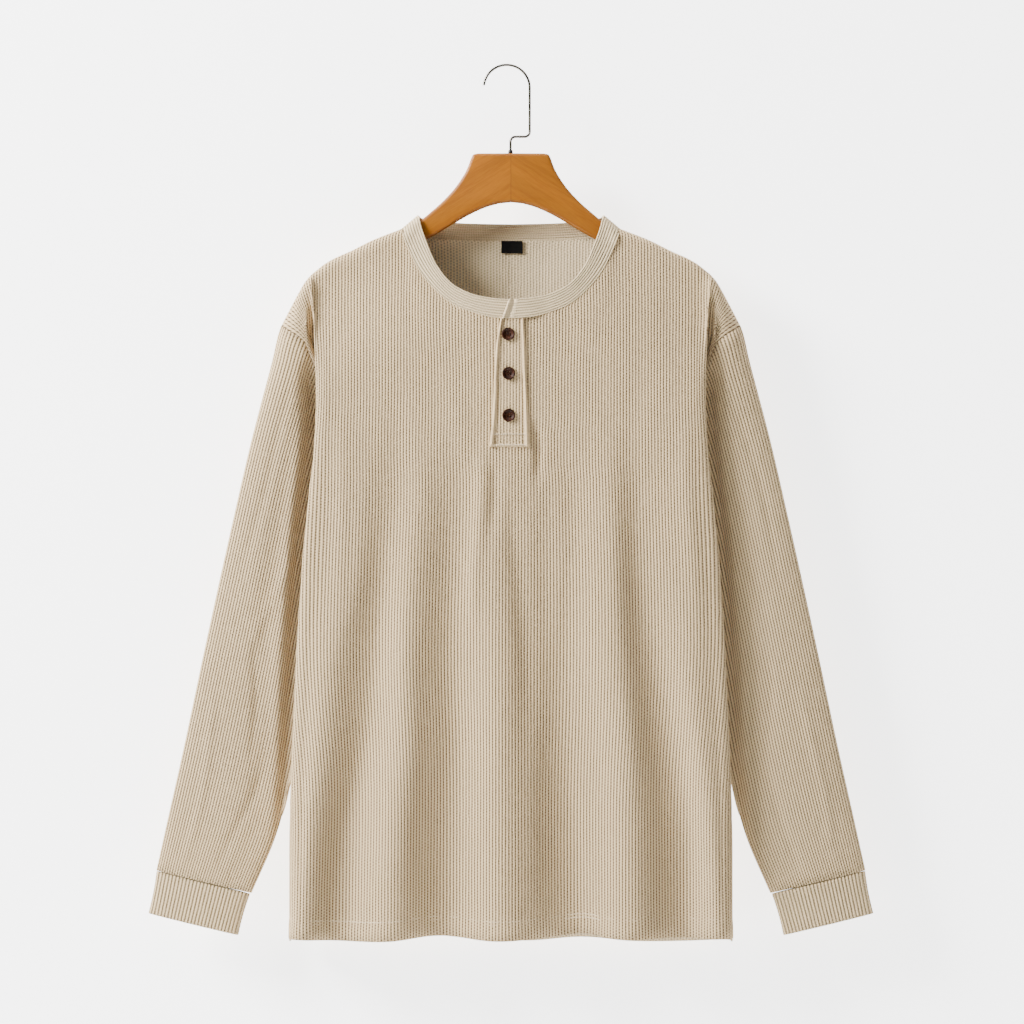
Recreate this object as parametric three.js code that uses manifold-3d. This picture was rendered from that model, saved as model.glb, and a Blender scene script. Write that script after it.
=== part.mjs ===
// A long-sleeved henley shirt that hangs on a wooden hanger with a wire hook.
// Units are millimetres, +Z is up, X runs across the shirt and the front faces -Y.
// The origin is the underside of the hook's crown, where a rail carries the hanger.
// "Across" is the distance from the shirt's centre line, "depth" the distance from its mid plane.

import * as THREE from 'three';
import { mergeVertices } from 'three/addons/utils/BufferGeometryUtils.js';
import Module from 'manifold-3d';

const wasm = await Module();
wasm.setup();

// Driving dimensions
const CENTRE_X = 4.2; // the shirt hangs this far beside the hook's crown
const CLOTH = 1.6; // wall of the waffle jersey
const RIB_CLOTH = 1.8; // wall of the ribbed trims
const LABEL_CLOTH = 0.6;
const SEAM_GAP = 0.3;
const HALF_GAP = 0.15;
const HEM_FRONT = -873;
const HEM_BACK = -877;
const UNDERARM = -390;
const SHOULDER_ROUND = 10; // radius of the cloth where it passes over the hanger's arm
const BODY_DEPTH = 28; // front and back panels stand this far from the mid plane
const DEPTH_RUN = 125; // height over which the panels spread to that depth
const EDGE_ROLL = 12; // width of the rolled front edge
const FACE_HALF = 184; // the flat face's half width at the chest, inside the rolled edge
const CHEST_RIDGE = 196;
const NECK_HALF = 108.5; // from the centre to the neck seam on the shoulder
const PLACKET_HALF = 15; // half width of the slot that the placket fills
const PLACKET_BOTTOM = -382;
const SLOT_ROW = 9; // the slot ends on this row of the front
const ARM_ROWS = 10; // rows from the shoulder or neck down to the underarm
const FRONT_ROWS = 11; // rows from the underarm to the hem
const BACK_ROWS = 9;
const SLEEVE_ROWS = 13;
const NECK_STEPS_FRONT = 12;
const NECK_STEPS_BACK = 7;
const ROLL_SHARES = [0.5, 0.87]; // the rolled edge's own columns, from the face to the ridge
const TURN_SHARES = [0, 1 / 3, 1 / 2, 2 / 3, 5 / 6, 1]; // the turned part's, from the ridge to the seam
const PLACKET_TOP = -253.6;
const UNDER_TOP = -254; // top of the placket's lower strip
const RIB_RISE = 0.6;
const NECK_RIBS = 7;
const CUFF_RIBS = 54;

// A table with named columns, one row for each section
function table(names, rows) {
  const keys = names.split(' ');
  return rows.map((row) => Object.fromEntries(keys.map((key, i) => [key, row[i]])));
}

// The outline from the shoulder down the sleeve's outer edge
const OUTLINE = table('height across', [
  [-108, 0],
  [-162.5, 108.5],
  [-175, 140],
  [-185, 160],
  [-195, 181.5],
  [-205, 196],
  [-215, 205.5],
  [-235, 217],
  [-260, 230],
  [-295, 239],
  [-375, 260],
  [-455, 278.5],
  [-575, 305],
  [-695, 330.5],
  [-755, 344],
  [-806, 355.3],
]);

// The sleeve's inner edge, from the underarm to the cuff seam
const SLEEVE_INNER = table('height across', [
  [-390, 150],
  [-430, 161],
  [-500, 176],
  [-600, 197],
  [-712, 220],
  [-770, 235],
  [-829, 260],
]);

// The side fold: the front rolls at the ridge, tucks in behind it and reaches the seam past the lip
const SIDE_FOLD = table('height ridge ridgeDepth tuck tuckDepth lip lipDepth', [
  [-207, 199.5, 14, 204, 13, 209, 11],
  [-226, 199, 17, 203, 15.5, 208.5, 13],
  [-245, 197.2, 18.5, 199, 14.5, 205, 16],
  [-260, 196, 19.5, 197, 14.5, 203, 18],
  [-277, 195.5, 20.5, 195.4, 15, 199.8, 18.6],
  [-287, 195.2, 21, 194.4, 16.2, 196.5, 18.2],
  [-315, 195, 22, 192.3, 19, 188.5, 18.8],
  [-345, 195, 22.5, 191.5, 19.3, 174, 18],
  [-390, 197.5, 23, 193.5, 19.3, 156, 15.8],
  [-428, 201.7, 23, 197.7, 19, 156.5, 15.5],
  [-475, 206.6, 23, 202.6, 19, 161, 15.5],
  [-526, 210.4, 23, 206.4, 19, 171, 15.5],
  [-581, 214, 22.5, 210, 18.5, 183, 15.5],
  [-635, 216.6, 22, 212.8, 18, 195, 14.5],
  [-705, 219.7, 20.5, 217, 16, 210, 11.5],
  [-760, 221.2, 18.5, 220, 13, 217.5, 8],
  [-880, 221.5, 16, 222.2, 10, 222, 5],
]);

const FOLD_TOPS = { ridge: 199.5, tuck: 206, lip: 212 }; // where the fold's lines meet the shoulder
const FOLD_TOP_RUN = 22; // height over which they leave those places

// The side seam below the underarm
const SIDE_SEAM = table('height across', [
  [-390, 150],
  [-428, 150.6],
  [-475, 155],
  [-526, 165],
  [-581, 177],
  [-635, 190],
  [-705, 206],
  [-760, 215.5],
  [-880, 221.5],
]);

// The armhole seam from the shoulder to the underarm, with the direction its edge faces
const ARMHOLE = table('across depth height outX outY outZ', [
  [230, 0, -260, 0.9, 0, 0.44],
  [225, 8.5, -263.5, 0.75, 0.6, 0.3],
  [217, 14, -268.5, 0.5, 0.82, 0.25],
  [207, 17, -276, 0.45, 0.88, 0.1],
  [199, 17.5, -287, 0.75, 0.65, -0.1],
  [192.5, 17.2, -300, 0.9, 0.25, -0.35],
  [185, 16.5, -315, 0.88, 0, -0.47],
  [176, 15.5, -331, 0.87, 0, -0.49],
  [166, 14, -348.5, 0.86, 0, -0.51],
  [156, 9.5, -372, 0.75, 0, -0.66],
  [150, HALF_GAP, -390, 0.4, 0, -0.92],
]);

// Half of the neck seam and of the neckband's free edge, from the centre front to the centre back
const NECK_FRONT = table('seamX seamY seamZ edgeX edgeY edgeZ', [
  [0, -28, -253, 0, -28, -235],
  [20, -28, -251.3, 19, -28, -233.5],
  [40, -27.2, -246, 40, -27.2, -229],
  [58, -24.6, -238.5, 60, -24, -218],
  [76, -20.5, -223.5, 75, -19.5, -199],
  [91, -16, -205, 84.5, -15, -177],
  [101, -12.5, -185, 89.8, -11, -162],
  [106.8, -10.8, -170.5, 91.8, -7.8, -153.5],
  [108.5, 0, -162.5, 93, 0, -149.5],
]);
const NECK_BACK = table('seamX seamY seamZ edgeX edgeY edgeZ', [
  [108.5, 0, -162.5, 93, 0, -149.5],
  [105, 9.5, -166.5, 89.5, 9.5, -152.5],
  [90, 14, -171.5, 76, 14.5, -156],
  [64, 18.5, -174.7, 52, 18.5, -158.8],
  [34, 21.6, -176.2, 27, 21.4, -160],
  [0, 22.6, -176.6, 0, 22.4, -160.4],
]);

const SPREAD_TOP = -260; // the columns come to even steps between here and the underarm
const STILL_HALF = 40; // the columns nearer the centre than this hang straight
const TOP_RUN = 60; // height over which a panel leaves its seam for its own depth
const SHOULDER_RUN = 14; // the same beside the shoulder

// The front's hanging folds: crests and troughs in order, as places from the centre at each height
const FOLD_PLACES = table('height a ab b bc c cd d de e', [
  [-435, -153, -121, -90, -54, -12, 54, 99, 129, 179],
  [-515, -159, -129, -99, -57, -15, 51, 102, 129, 179],
  [-595, -180, -138, -105, -60, -9, 51, 105, 141, 181],
  [-675, -189, -147, -105, -57, -10, 53, 114, 154, 189],
  [-755, -200, -162, -114, -63, -8, 58, 117, 168, 200],
  [-873, -208, -174, -120, -66, -6, 63, 120, 174, 208],
]);
const FOLD_DEPTHS = { a: 5, ab: -6, b: 7, bc: -7.5, c: 6.5, cd: -9, d: 7, de: -6, e: 4 };
const FOLD_START = -385;
const FOLD_RUN = 420;

// How far the front hem is lifted between the folds
const HEM_WAVE = table('across lift', [
  [-222, 0],
  [-121, -1.6],
  [-76, 3],
  [-15, -1.6],
  [40, 2],
  [76, 5.5],
  [103, 0.6],
  [160, 1.5],
  [222, 0],
]);
const WAVE_RUN = 400; // the lift fades out this far above the hem

// The back hangs in fewer, softer folds
const BACK_FOLDS = table('across width depth', [
  [-150, 34, 5],
  [-78, 40, -6],
  [0, 44, 6],
  [82, 38, -6],
  [152, 34, 5],
]);

// The soft valley down each sleeve's front: its share of the width from the outer edge
const SLEEVE_VALLEY = table('height share depth', [
  [-300, 0.34, 0],
  [-375, 0.39, 3],
  [-526, 0.48, 3.5],
  [-603, 0.56, 3.5],
  [-710, 0.76, 3],
  [-800, 0.8, 1],
]);

// Materials
const paint = (colour, roughness, metalness = 0) =>
  new THREE.MeshStandardMaterial({ color: colour, roughness, metalness });
const CLOTH_PAINT = paint(0xc8bcaa, 0.95);
const RIB_PAINT = paint(0xc4b6a2, 0.95);
const WOOD_PAINT = paint(0xbf7b3e, 0.45);
const WIRE_PAINT = paint(0xa9a9aa, 0.3, 1);
const BUTTON_PAINT = paint(0x46301f, 0.35);
const LABEL_PAINT = paint(0x332f29, 0.9);
const FERRULE_PAINT = paint(0x1c1b1a, 0.4, 0.6);

const clamp = THREE.MathUtils.clamp;
const lerp = THREE.MathUtils.lerp;
const vector = (x, y, z) => new THREE.Vector3(x, y, z);
const range = (count) => Array.from({ length: count }, (_, i) => i);

function ease(value) {
  const t = clamp(value, 0, 1);
  return t * t * (3 - 2 * t);
}

// Reads a table's column at a height, smoothly between its rows
function readAt(rows, column, height) {
  const last = rows.length - 1;
  if (height >= rows[0].height) return rows[0][column];
  if (height <= rows[last].height) return rows[last][column];
  const i = rows.findIndex((row) => row.height < height) - 1;
  const slope = (k) => {
    const before = rows[Math.max(k - 1, 0)];
    const after = rows[Math.min(k + 1, last)];
    return (after[column] - before[column]) / (after.height - before.height);
  };
  const span = rows[i + 1].height - rows[i].height;
  const t = (height - rows[i].height) / span;
  const rest = 1 - t;
  const from = rest * rest * (1 + 2 * t) * rows[i][column] + rest * rest * t * span * slope(i);
  const to = t * t * (3 - 2 * t) * rows[i + 1][column] - t * t * rest * span * slope(i + 1);
  return from + to;
}

// The shoulder line's height at a place across
function shoulderHeight(across) {
  const i = clamp(OUTLINE.findIndex((row) => row.across > across), 1, OUTLINE.length - 1);
  const [from, to] = [OUTLINE[i - 1], OUTLINE[i]];
  return lerp(from.height, to.height, (across - from.across) / (to.across - from.across));
}

// How far a panel stands from the mid plane at a distance below the shoulder line
function panelDepth(below) {
  const rise = 1 - clamp(below / SHOULDER_ROUND, 0, 1);
  const over = SHOULDER_ROUND * Math.sqrt(1 - rise * rise);
  return over + (BODY_DEPTH - SHOULDER_ROUND) * ease((below - 6) / DEPTH_RUN);
}

// How far the hanging folds push the front outwards
function frontFolds(x, height) {
  const grown = Math.pow(clamp((FOLD_START - height) / FOLD_RUN, 0, 1), 0.8);
  const names = Object.keys(FOLD_DEPTHS);
  const places = names.map((name) => readAt(FOLD_PLACES, name, height));
  const edge = readAt(SIDE_FOLD, 'ridge', height);
  const knots = [-edge, ...places, edge];
  const depths = [-2, ...names.map((name) => FOLD_DEPTHS[name]), -2];
  const i = clamp(knots.findIndex((place) => place > x), 1, knots.length - 1);
  const t = ease((x - knots[i - 1]) / (knots[i] - knots[i - 1]));
  return grown * lerp(depths[i - 1], depths[i], t);
}

function backFolds(x, height) {
  const grown = ease((FOLD_START - height) / FOLD_RUN);
  const push = (fold) => fold.depth * Math.exp(-(((x - fold.across) / fold.width) ** 2));
  return grown * BACK_FOLDS.reduce((sum, fold) => sum + push(fold), 0);
}

// The front's lift at a point, all of it at the hem
function hemLift(x, height) {
  const i = clamp(HEM_WAVE.findIndex((row) => row.across > x), 1, HEM_WAVE.length - 1);
  const [from, to] = [HEM_WAVE[i - 1], HEM_WAVE[i]];
  const lift = lerp(from.lift, to.lift, ease((x - from.across) / (to.across - from.across)));
  return lift * ease((UNDERARM - height) / WAVE_RUN);
}

// The height of a point on a panel's row, below the top of its column
function rowHeight(top, row, rows, hem) {
  if (row > ARM_ROWS) return lerp(UNDERARM, hem, (row - ARM_ROWS) / (rows - ARM_ROWS));
  return lerp(top, UNDERARM, (row / ARM_ROWS) ** 2);
}

// A point of a panel's flat face; side is -1 for the front and 1 for the back
function facePoint(side, x, height) {
  const across = Math.abs(x);
  const ridge = readAt(SIDE_FOLD, 'ridge', height);
  const ridgeDepth = readAt(SIDE_FOLD, 'ridgeDepth', height);
  const folds = side < 0 ? frontFolds(x, height) : backFolds(x, height);
  const flat = panelDepth(shoulderHeight(across) - height) + folds;
  const roll = clamp((across - (ridge - EDGE_ROLL)) / EDGE_ROLL, 0, 1);
  const over = 1 - Math.sqrt(1 - roll * roll);
  return vector(x, side * lerp(flat, Math.min(flat, ridgeDepth), over), height);
}

// The rolled edge's turned part: from the ridge past the tuck and the lip to the seam
function turnedPoints(side, row, rows, hem) {
  const stations = Object.entries(FOLD_TOPS).map(([name, atTop]) => {
    const top = shoulderHeight(atTop);
    const height = rowHeight(top, row, rows, hem);
    const near = ease((top - height) / FOLD_TOP_RUN);
    const across = lerp(atTop, readAt(SIDE_FOLD, name, height), near);
    const round = Math.sqrt(1 - (1 - clamp((top - height) / SHOULDER_ROUND, 0, 1)) ** 2);
    const depth = Math.max(HALF_GAP, readAt(SIDE_FOLD, `${name}Depth`, height) * round);
    return vector(across, side * depth, height);
  });
  const low = rowHeight(UNDERARM, row, rows, hem);
  const sideSeam = vector(readAt(SIDE_SEAM, 'across', low), side * HALF_GAP, low);
  const seam = row > ARM_ROWS ? sideSeam : armholePoint(side, row);
  const curve = new THREE.CatmullRomCurve3([...stations, seam], false, 'centripetal');
  return TURN_SHARES.map((share) => curve.getPoint(share));
}

function armholePoint(side, step) {
  const row = ARMHOLE[step];
  return vector(row.across, side * Math.max(row.depth, HALF_GAP), row.height);
}

function armholeOut(side, step) {
  const row = ARMHOLE[step];
  return vector(row.outX, side * row.outY, row.outZ).normalize();
}

// A curve through one line of the neck, and that line's points at equal steps
function neckLine(rows, part) {
  const points = rows.map((row) => vector(row[`${part}X`], row[`${part}Y`], row[`${part}Z`]));
  return new THREE.CatmullRomCurve3(points, false, 'centripetal');
}

const NECK_LINES = {
  front: { seam: neckLine(NECK_FRONT, 'seam'), edge: neckLine(NECK_FRONT, 'edge') },
  back: { seam: neckLine(NECK_BACK, 'seam'), edge: neckLine(NECK_BACK, 'edge') },
};

// The share of the front neck line at which the placket's slot starts
const SLOT_SHARE = (() => {
  const seam = NECK_LINES.front.seam;
  let share = 0;
  while (seam.getPoint(share).x < PLACKET_HALF) share += 0.0005;
  return share;
})();

// The share along the neck line after some steps out from the centre, closer together at the shoulder
function neckShare(half, step) {
  const front = half === 'front';
  const steps = front ? NECK_STEPS_FRONT : NECK_STEPS_BACK;
  const left = (1 - step / steps) ** 1.5;
  return front ? lerp(1, SLOT_SHARE, left) : left;
}

// One station of the neckband: its seam point, its free edge and the way it faces
function neckStation(half, share) {
  const { seam, edge } = NECK_LINES[half];
  const low = seam.getPoint(share);
  const high = edge.getPoint(share);
  const along = seam.getTangent(share).add(edge.getTangent(share)).normalize();
  const out = along.cross(high.clone().sub(low)).normalize();
  if (half === 'front' && share >= 1) out.setY(0).normalize();
  if (half === 'back' && share <= 0) out.setY(0).normalize();
  return { low, high, out };
}

// A closed wall: outer points in rows, inner points one thickness under them
function wall(grid, { thickness, side, around = false, keep = () => true, facing = () => null }) {
  const rows = grid.length;
  const columns = grid[0].length;
  const wrap = (c) => (around ? (c + columns) % columns : clamp(c, 0, columns - 1));
  const outer = (r, c) => grid[r][wrap(c)];
  const inner = grid.map((line, r) =>
    line.map((point, c) => {
      const acrossLine = outer(r, c + 1).clone().sub(outer(r, c - 1));
      const downLine = outer(Math.min(r + 1, rows - 1), c).clone().sub(outer(Math.max(r - 1, 0), c));
      const own = acrossLine.cross(downLine).multiplyScalar(side).normalize();
      return point.clone().addScaledVector(facing(r, c, own) ?? own, -thickness);
    })
  );
  const positions = [];
  const quad = (a, b, c, d) => [a, b, c, a, c, d].forEach((p) => positions.push(p.x, p.y, p.z));
  const face = (a, b, c, d) => (side > 0 ? quad(a, b, c, d) : quad(d, c, b, a));
  const cells = around ? columns : columns - 1;
  const kept = (r, c) => {
    const inside = r >= 0 && r < rows - 1 && (around || (c >= 0 && c < cells));
    return inside && keep(r, wrap(c));
  };
  for (const r of range(rows - 1)) {
    for (const c of range(cells)) {
      if (!kept(r, c)) continue;
      const corners = [[r, c], [r, c + 1], [r + 1, c + 1], [r + 1, c]];
      const [a, b, d, e] = corners.map(([i, j]) => outer(i, j));
      const [ai, bi, di, ei] = corners.map(([i, j]) => inner[i][wrap(j)]);
      face(a, b, d, e);
      face(ei, di, bi, ai);
      if (!kept(r - 1, c)) face(b, a, ai, bi);
      if (!kept(r, c + 1)) face(d, b, bi, di);
      if (!kept(r + 1, c)) face(e, d, di, ei);
      if (!kept(r, c - 1)) face(a, e, ei, ai);
    }
  }
  return solidFrom(positions);
}

// A closed solid from a run of like sections, each a loop of points
function loft(sections, { closed = false, flip = false }) {
  const positions = [];
  const triangle = (a, b, c) => {
    const order = flip ? [c, b, a] : [a, b, c];
    order.forEach((p) => positions.push(p.x, p.y, p.z));
  };
  const count = sections[0].length;
  const spans = closed ? sections.length : sections.length - 1;
  for (const s of range(spans)) {
    const here = sections[s];
    const next = sections[(s + 1) % sections.length];
    for (const k of range(count)) {
      const m = (k + 1) % count;
      triangle(here[k], here[m], next[m]);
      triangle(here[k], next[m], next[k]);
    }
  }
  if (!closed) {
    // The last two points of a section are its plain inside, so each cap fans out between them
    const cap = (loop, turned) => {
      const [insideEdge, insideSeam] = loop.slice(-2);
      const outside = loop.slice(0, -2);
      const middle = Math.floor(outside.length / 2);
      const put = (a, b, c) => (turned ? triangle(c, b, a) : triangle(a, b, c));
      for (const k of range(outside.length - 1)) {
        put(outside[k], k < middle ? insideSeam : insideEdge, outside[k + 1]);
      }
      put(outside[middle], insideSeam, insideEdge);
    };
    cap(sections[0], false);
    cap(sections[sections.length - 1], true);
  }
  return solidFrom(positions);
}

function solidFrom(positions) {
  const geometry = new THREE.BufferGeometry();
  geometry.setAttribute('position', new THREE.Float32BufferAttribute(positions, 3));
  geometry.computeVertexNormals();
  return geometry;
}

// The front, from its left side seam to its right one
function frontPanel() {
  const rows = ARM_ROWS + FRONT_ROWS;
  const half = panelColumns('front');
  const slotColumns = [-PLACKET_HALF / 3, PLACKET_HALF / 3];
  const grid = range(rows + 1).map((row) => {
    const right = panelRow(-1, half, row, rows, HEM_FRONT);
    const middle = slotColumns.map((x) =>
      facePoint(-1, x, rowHeight(neckSeamAt(x).z, row, rows, HEM_FRONT))
    );
    const left = mirrored(-1, half, row, rows, HEM_FRONT);
    const line = [...left, ...middle, ...right];
    line.forEach((point) => point.setZ(point.z + hemLift(point.x, point.z)));
    return line;
  });
  const slotFrom = half.length + ROLL_SHARES.length + TURN_SHARES.length - 1;
  const keep = (r, c) => r >= SLOT_ROW || c < slotFrom || c > slotFrom + slotColumns.length;
  const facing = (r, c, own) => panelFacing(-1, half, grid[0].length, r, c, own);
  return wall(grid, { thickness: CLOTH, side: -1, keep, facing });
}

// The back, whose columns meet on its centre line
function backPanel() {
  const rows = ARM_ROWS + BACK_ROWS;
  const half = panelColumns('back');
  const grid = range(rows + 1).map((row) => {
    const left = mirrored(1, half, row, rows, HEM_BACK);
    return [...left.slice(0, -1), ...panelRow(1, half, row, rows, HEM_BACK)];
  });
  const facing = (r, c, own) => panelFacing(1, half, grid[0].length, r, c, own);
  return wall(grid, { thickness: CLOTH, side: 1, facing });
}

// Columns of half a panel's face: where each starts at the top, and where it hangs lower down
function panelColumns(name) {
  const front = name === 'front';
  const steps = front ? NECK_STEPS_FRONT : NECK_STEPS_BACK;
  const shoulderSteps = front ? 7 : 5;
  const first = front ? PLACKET_HALF : 0;
  const neck = range(steps + 1).map((k) => {
    const station = neckStation(name, neckShare(name, k));
    return { top: station.low, out: station.out };
  });
  const shoulder = range(shoulderSteps).map((k) => {
    const x = lerp(NECK_HALF, FACE_HALF, (k + 1) / shoulderSteps);
    return { top: vector(x, 0, shoulderHeight(x)), out: vector(0.43, 0, 0.9).normalize() };
  });
  const columns = [...neck, ...shoulder];
  return columns.map((column, i) => ({
    ...column,
    even: lerp(first, FACE_HALF, i / (columns.length - 1)),
  }));
}

function neckSeamAt(x) {
  return NECK_LINES.front.seam.getPoint((SLOT_SHARE * Math.abs(x)) / PLACKET_HALF);
}

// One row of half a panel, from near the centre to the side seam
function panelRow(side, half, row, rows, hem) {
  const face = half.map((column) => {
    const height = rowHeight(column.top.z, row, rows, hem);
    const widen = readAt(SIDE_FOLD, 'ridge', height) - CHEST_RIDGE;
    const spread = lerp(column.top.x, column.even, ease((SPREAD_TOP - height) / (SPREAD_TOP - UNDERARM)));
    const fallen = ease((column.top.z - height) / TOP_RUN);
    const x = spread + widen * ease((spread - STILL_HALF) / (FACE_HALF - STILL_HALF)) * fallen;
    const point = facePoint(side, x, height);
    const top = facePoint(side, column.top.x, column.top.z);
    const run = lerp(SHOULDER_RUN, TOP_RUN, ease((NECK_HALF - column.top.x) / TOP_RUN));
    point.y += (column.top.y - top.y) * (1 - ease((column.top.z - height) / run));
    if (side * point.y < HALF_GAP) point.y = side * HALF_GAP;
    return point;
  });
  const turned = turnedPoints(side, row, rows, hem);
  const ridge = turned[0];
  const flat = face[face.length - 1];
  const rolled = ROLL_SHARES.map((roll) => {
    const over = 1 - Math.sqrt(1 - roll * roll);
    return vector(lerp(flat.x, ridge.x, roll), lerp(flat.y, ridge.y, over), lerp(flat.z, ridge.z, roll));
  });
  return [...face, ...rolled, ...turned];
}

// The same row on the other half, from the side seam to the centre; its folds are its own
function mirrored(side, half, row, rows, hem) {
  const folds = side < 0 ? frontFolds : backFolds;
  const points = panelRow(side, half, row, rows, hem).map((point, i) => {
    const own = vector(-point.x, point.y, point.z);
    if (i < half.length) own.y += side * (folds(own.x, own.z) - folds(point.x, point.z));
    return own;
  });
  return points.reverse();
}

// The direction a panel's edge faces where another piece is sewn to it.
// A column's index counts from the first column of its half outwards.
function panelFacing(side, half, columns, r, c, own) {
  const left = c < (columns - 1) / 2;
  const slot = columns % 2 ? 0 : 1; // the front's half starts beside its slot's own column
  const index = Math.floor(Math.abs(c - (columns - 1) / 2)) - slot;
  const flipX = (v) => (left ? vector(-v.x, v.y, v.z) : v.clone());
  const atSeam = c === 0 || c === columns - 1;
  if (atSeam && r <= ARM_ROWS) return flipX(armholeOut(side, r));
  if (atSeam) return vector(own.x, 0, own.z).normalize();
  if (r > 0 || index < 0) return null;
  if (index < half.length) return flipX(half[index].out);
  return vector(own.x, 0, Math.abs(own.z)).normalize();
}

// A sleeve's ring at a share of its length, walked from the outer edge over its front
function sleevePoint(step, share) {
  const turn = (step / (2 * ARM_ROWS)) * 2 * Math.PI;
  const outerHeight = lerp(-260, -805.6, share);
  const innerHeight = lerp(UNDERARM, -828.4, share);
  const outer = readAt(OUTLINE, 'across', outerHeight);
  const inner = readAt(SLEEVE_INNER, 'across', innerHeight);
  const width = (1 - Math.cos(turn)) / 2;
  const half = lerp(13, 9.5, ease(share * 2));
  const height = lerp(outerHeight, innerHeight, width);
  const wave = Math.sin(turn);
  let depth = -half * Math.sign(wave) * Math.pow(Math.abs(wave), 0.75);
  if (wave > 0.01) {
    const away = (width - readAt(SLEEVE_VALLEY, 'share', height)) / 0.12;
    depth += readAt(SLEEVE_VALLEY, 'depth', height) * Math.exp(-away * away);
  }
  return vector(lerp(outer, inner, width), depth, height);
}

// The armhole seam as the sleeve's first ring, one seam gap off the body
function armholeRing() {
  const count = 2 * ARM_ROWS;
  const place = (step) => {
    const side = step <= ARM_ROWS ? -1 : 1;
    const row = ARMHOLE[step <= ARM_ROWS ? step : count - step];
    const depth = row.depth <= HALF_GAP ? 0 : row.depth;
    return vector(row.across, side * depth, row.height);
  };
  return range(count).map((step) => {
    const side = step <= ARM_ROWS ? -1 : 1;
    const out = armholeOut(side, step <= ARM_ROWS ? step : count - step);
    const along = place((step + 1) % count).sub(place((step + count - 1) % count)).normalize();
    const away = out.clone().cross(along).normalize();
    return { point: place(step).addScaledVector(away, SEAM_GAP + HALF_GAP), out };
  });
}

function sleeve(hand) {
  const ring = armholeRing();
  const grid = range(SLEEVE_ROWS + 1).map((row) => {
    const share = row / SLEEVE_ROWS;
    const fade = (1 - clamp(share / 0.3, 0, 1)) ** 2;
    return ring.map(({ point }, step) => {
      const straight = sleevePoint(step, share);
      const start = sleevePoint(step, 0);
      const p = straight.addScaledVector(point.clone().sub(start), fade);
      return vector(hand * p.x, p.y, p.z);
    });
  });
  const facing = (r, c) => {
    if (r > 0) return null;
    const out = ring[c].out;
    return vector(hand * out.x, out.y, out.z);
  };
  return wall(grid, { thickness: CLOTH, side: hand, around: true, facing });
}

const OVAL_STEPS = 24;

// A cuff: two flat rings, ribbed outside and plain inside
function cuff(hand) {
  const oval = (outer, inner, half) => {
    const corners = range(OVAL_STEPS).map((k) => {
      const turn = (k / OVAL_STEPS) * 2 * Math.PI;
      const width = (1 - Math.cos(turn)) / 2;
      const depth = -half * Math.sign(Math.sin(turn)) * Math.pow(Math.abs(Math.sin(turn)), 0.75);
      return vector(lerp(outer.x, inner.x, width), depth, lerp(outer.z, inner.z, width));
    });
    return new THREE.CatmullRomCurve3(corners, true, 'centripetal');
  };
  const top = oval(vector(354.4, 0, -806.6), vector(262, 0, -829.2), 8.6);
  const bottom = oval(vector(362.6, 0, -848.8), vector(273.7, 0, -870.5), 8);
  const count = 2 * CUFF_RIBS;
  const axis = vector(0.2, 0, -0.98);
  const sections = range(count).map((k) => {
    const share = k / count;
    const high = top.getPointAt(share);
    const low = bottom.getPointAt(share);
    const out = top.getTangentAt(share).cross(axis).normalize().negate();
    const rise = k % 2 ? RIB_RISE : 0;
    const loop = [
      high.clone().addScaledVector(out, rise),
      low.clone().addScaledVector(out, rise),
      low.clone().addScaledVector(out, -RIB_CLOTH),
      high.clone().addScaledVector(out, -RIB_CLOTH),
    ];
    return loop.map((p) => vector(hand * p.x, p.y, p.z));
  });
  return loft(sections, { closed: true, flip: hand < 0 });
}

const OVERLAP_HALF = 12; // the band's right end lies over its left one as far as this
const OVERLAP_RUN = 26; // and comes down to the seam over this width
const BAND_END_RISE = 0.2;

// The neckband: from its right end over the front, round the back, to its left end under the right
function neckband() {
  const frontShares = range(NECK_STEPS_FRONT + 1).map((k) => neckShare('front', k));
  const halfFront = [0, SLOT_SHARE / 2, ...frontShares];
  const halfBack = range(NECK_STEPS_BACK).map((k) => neckShare('back', NECK_STEPS_BACK - 1 - k));
  const walk = [
    ...halfFront.map((share) => ({ half: 'front', share, hand: 1 })),
    ...halfBack.map((share) => ({ half: 'back', share, hand: 1 })),
    ...halfBack.slice(0, -1).reverse().map((share) => ({ half: 'back', share, hand: -1 })),
    ...halfFront.slice().reverse().map((share) => ({ half: 'front', share, hand: -1 })),
  ];
  const stations = walk.map(({ half, share, hand }) => {
    const { low, high, out } = neckStation(half, share);
    const flip = (v) => vector(hand * v.x, v.y, v.z);
    const over = half === 'front' && hand > 0 ? 1 - ease((low.x - OVERLAP_HALF) / OVERLAP_RUN) : 0;
    const lift = over * (RIB_CLOTH + RIB_RISE + SEAM_GAP);
    return { low: flip(low), high: flip(high), out: flip(out), lift };
  });
  const { low: startLow, high: startHigh, out: front, lift: overLift } = stations[0];
  const end = (lowX, highX, lift) => ({
    low: vector(lowX, startLow.y, startLow.z + BAND_END_RISE),
    high: vector(highX, startHigh.y, startHigh.z),
    out: front,
    lift,
  });
  const all = [end(-9, 1.5, overLift), ...stations.slice(1), end(9, 9, 0)];
  const points = 2 * NECK_RIBS + 1;
  const sections = all.map(({ low, high, out, lift }) => {
    const up = high.clone().sub(low);
    const seam = low.clone().addScaledVector(up.clone().normalize(), SEAM_GAP);
    const across = high.clone().sub(seam);
    const outside = range(points).map((k) => {
      const rise = lift + (k % 2 ? RIB_RISE : 0);
      return seam.clone().addScaledVector(across, k / (points - 1)).addScaledVector(out, rise);
    });
    const inside = [high, seam].map((p) => p.clone().addScaledVector(out, lift - RIB_CLOTH));
    return [...outside, ...inside];
  });
  return loft(sections, { flip: true });
}

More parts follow.
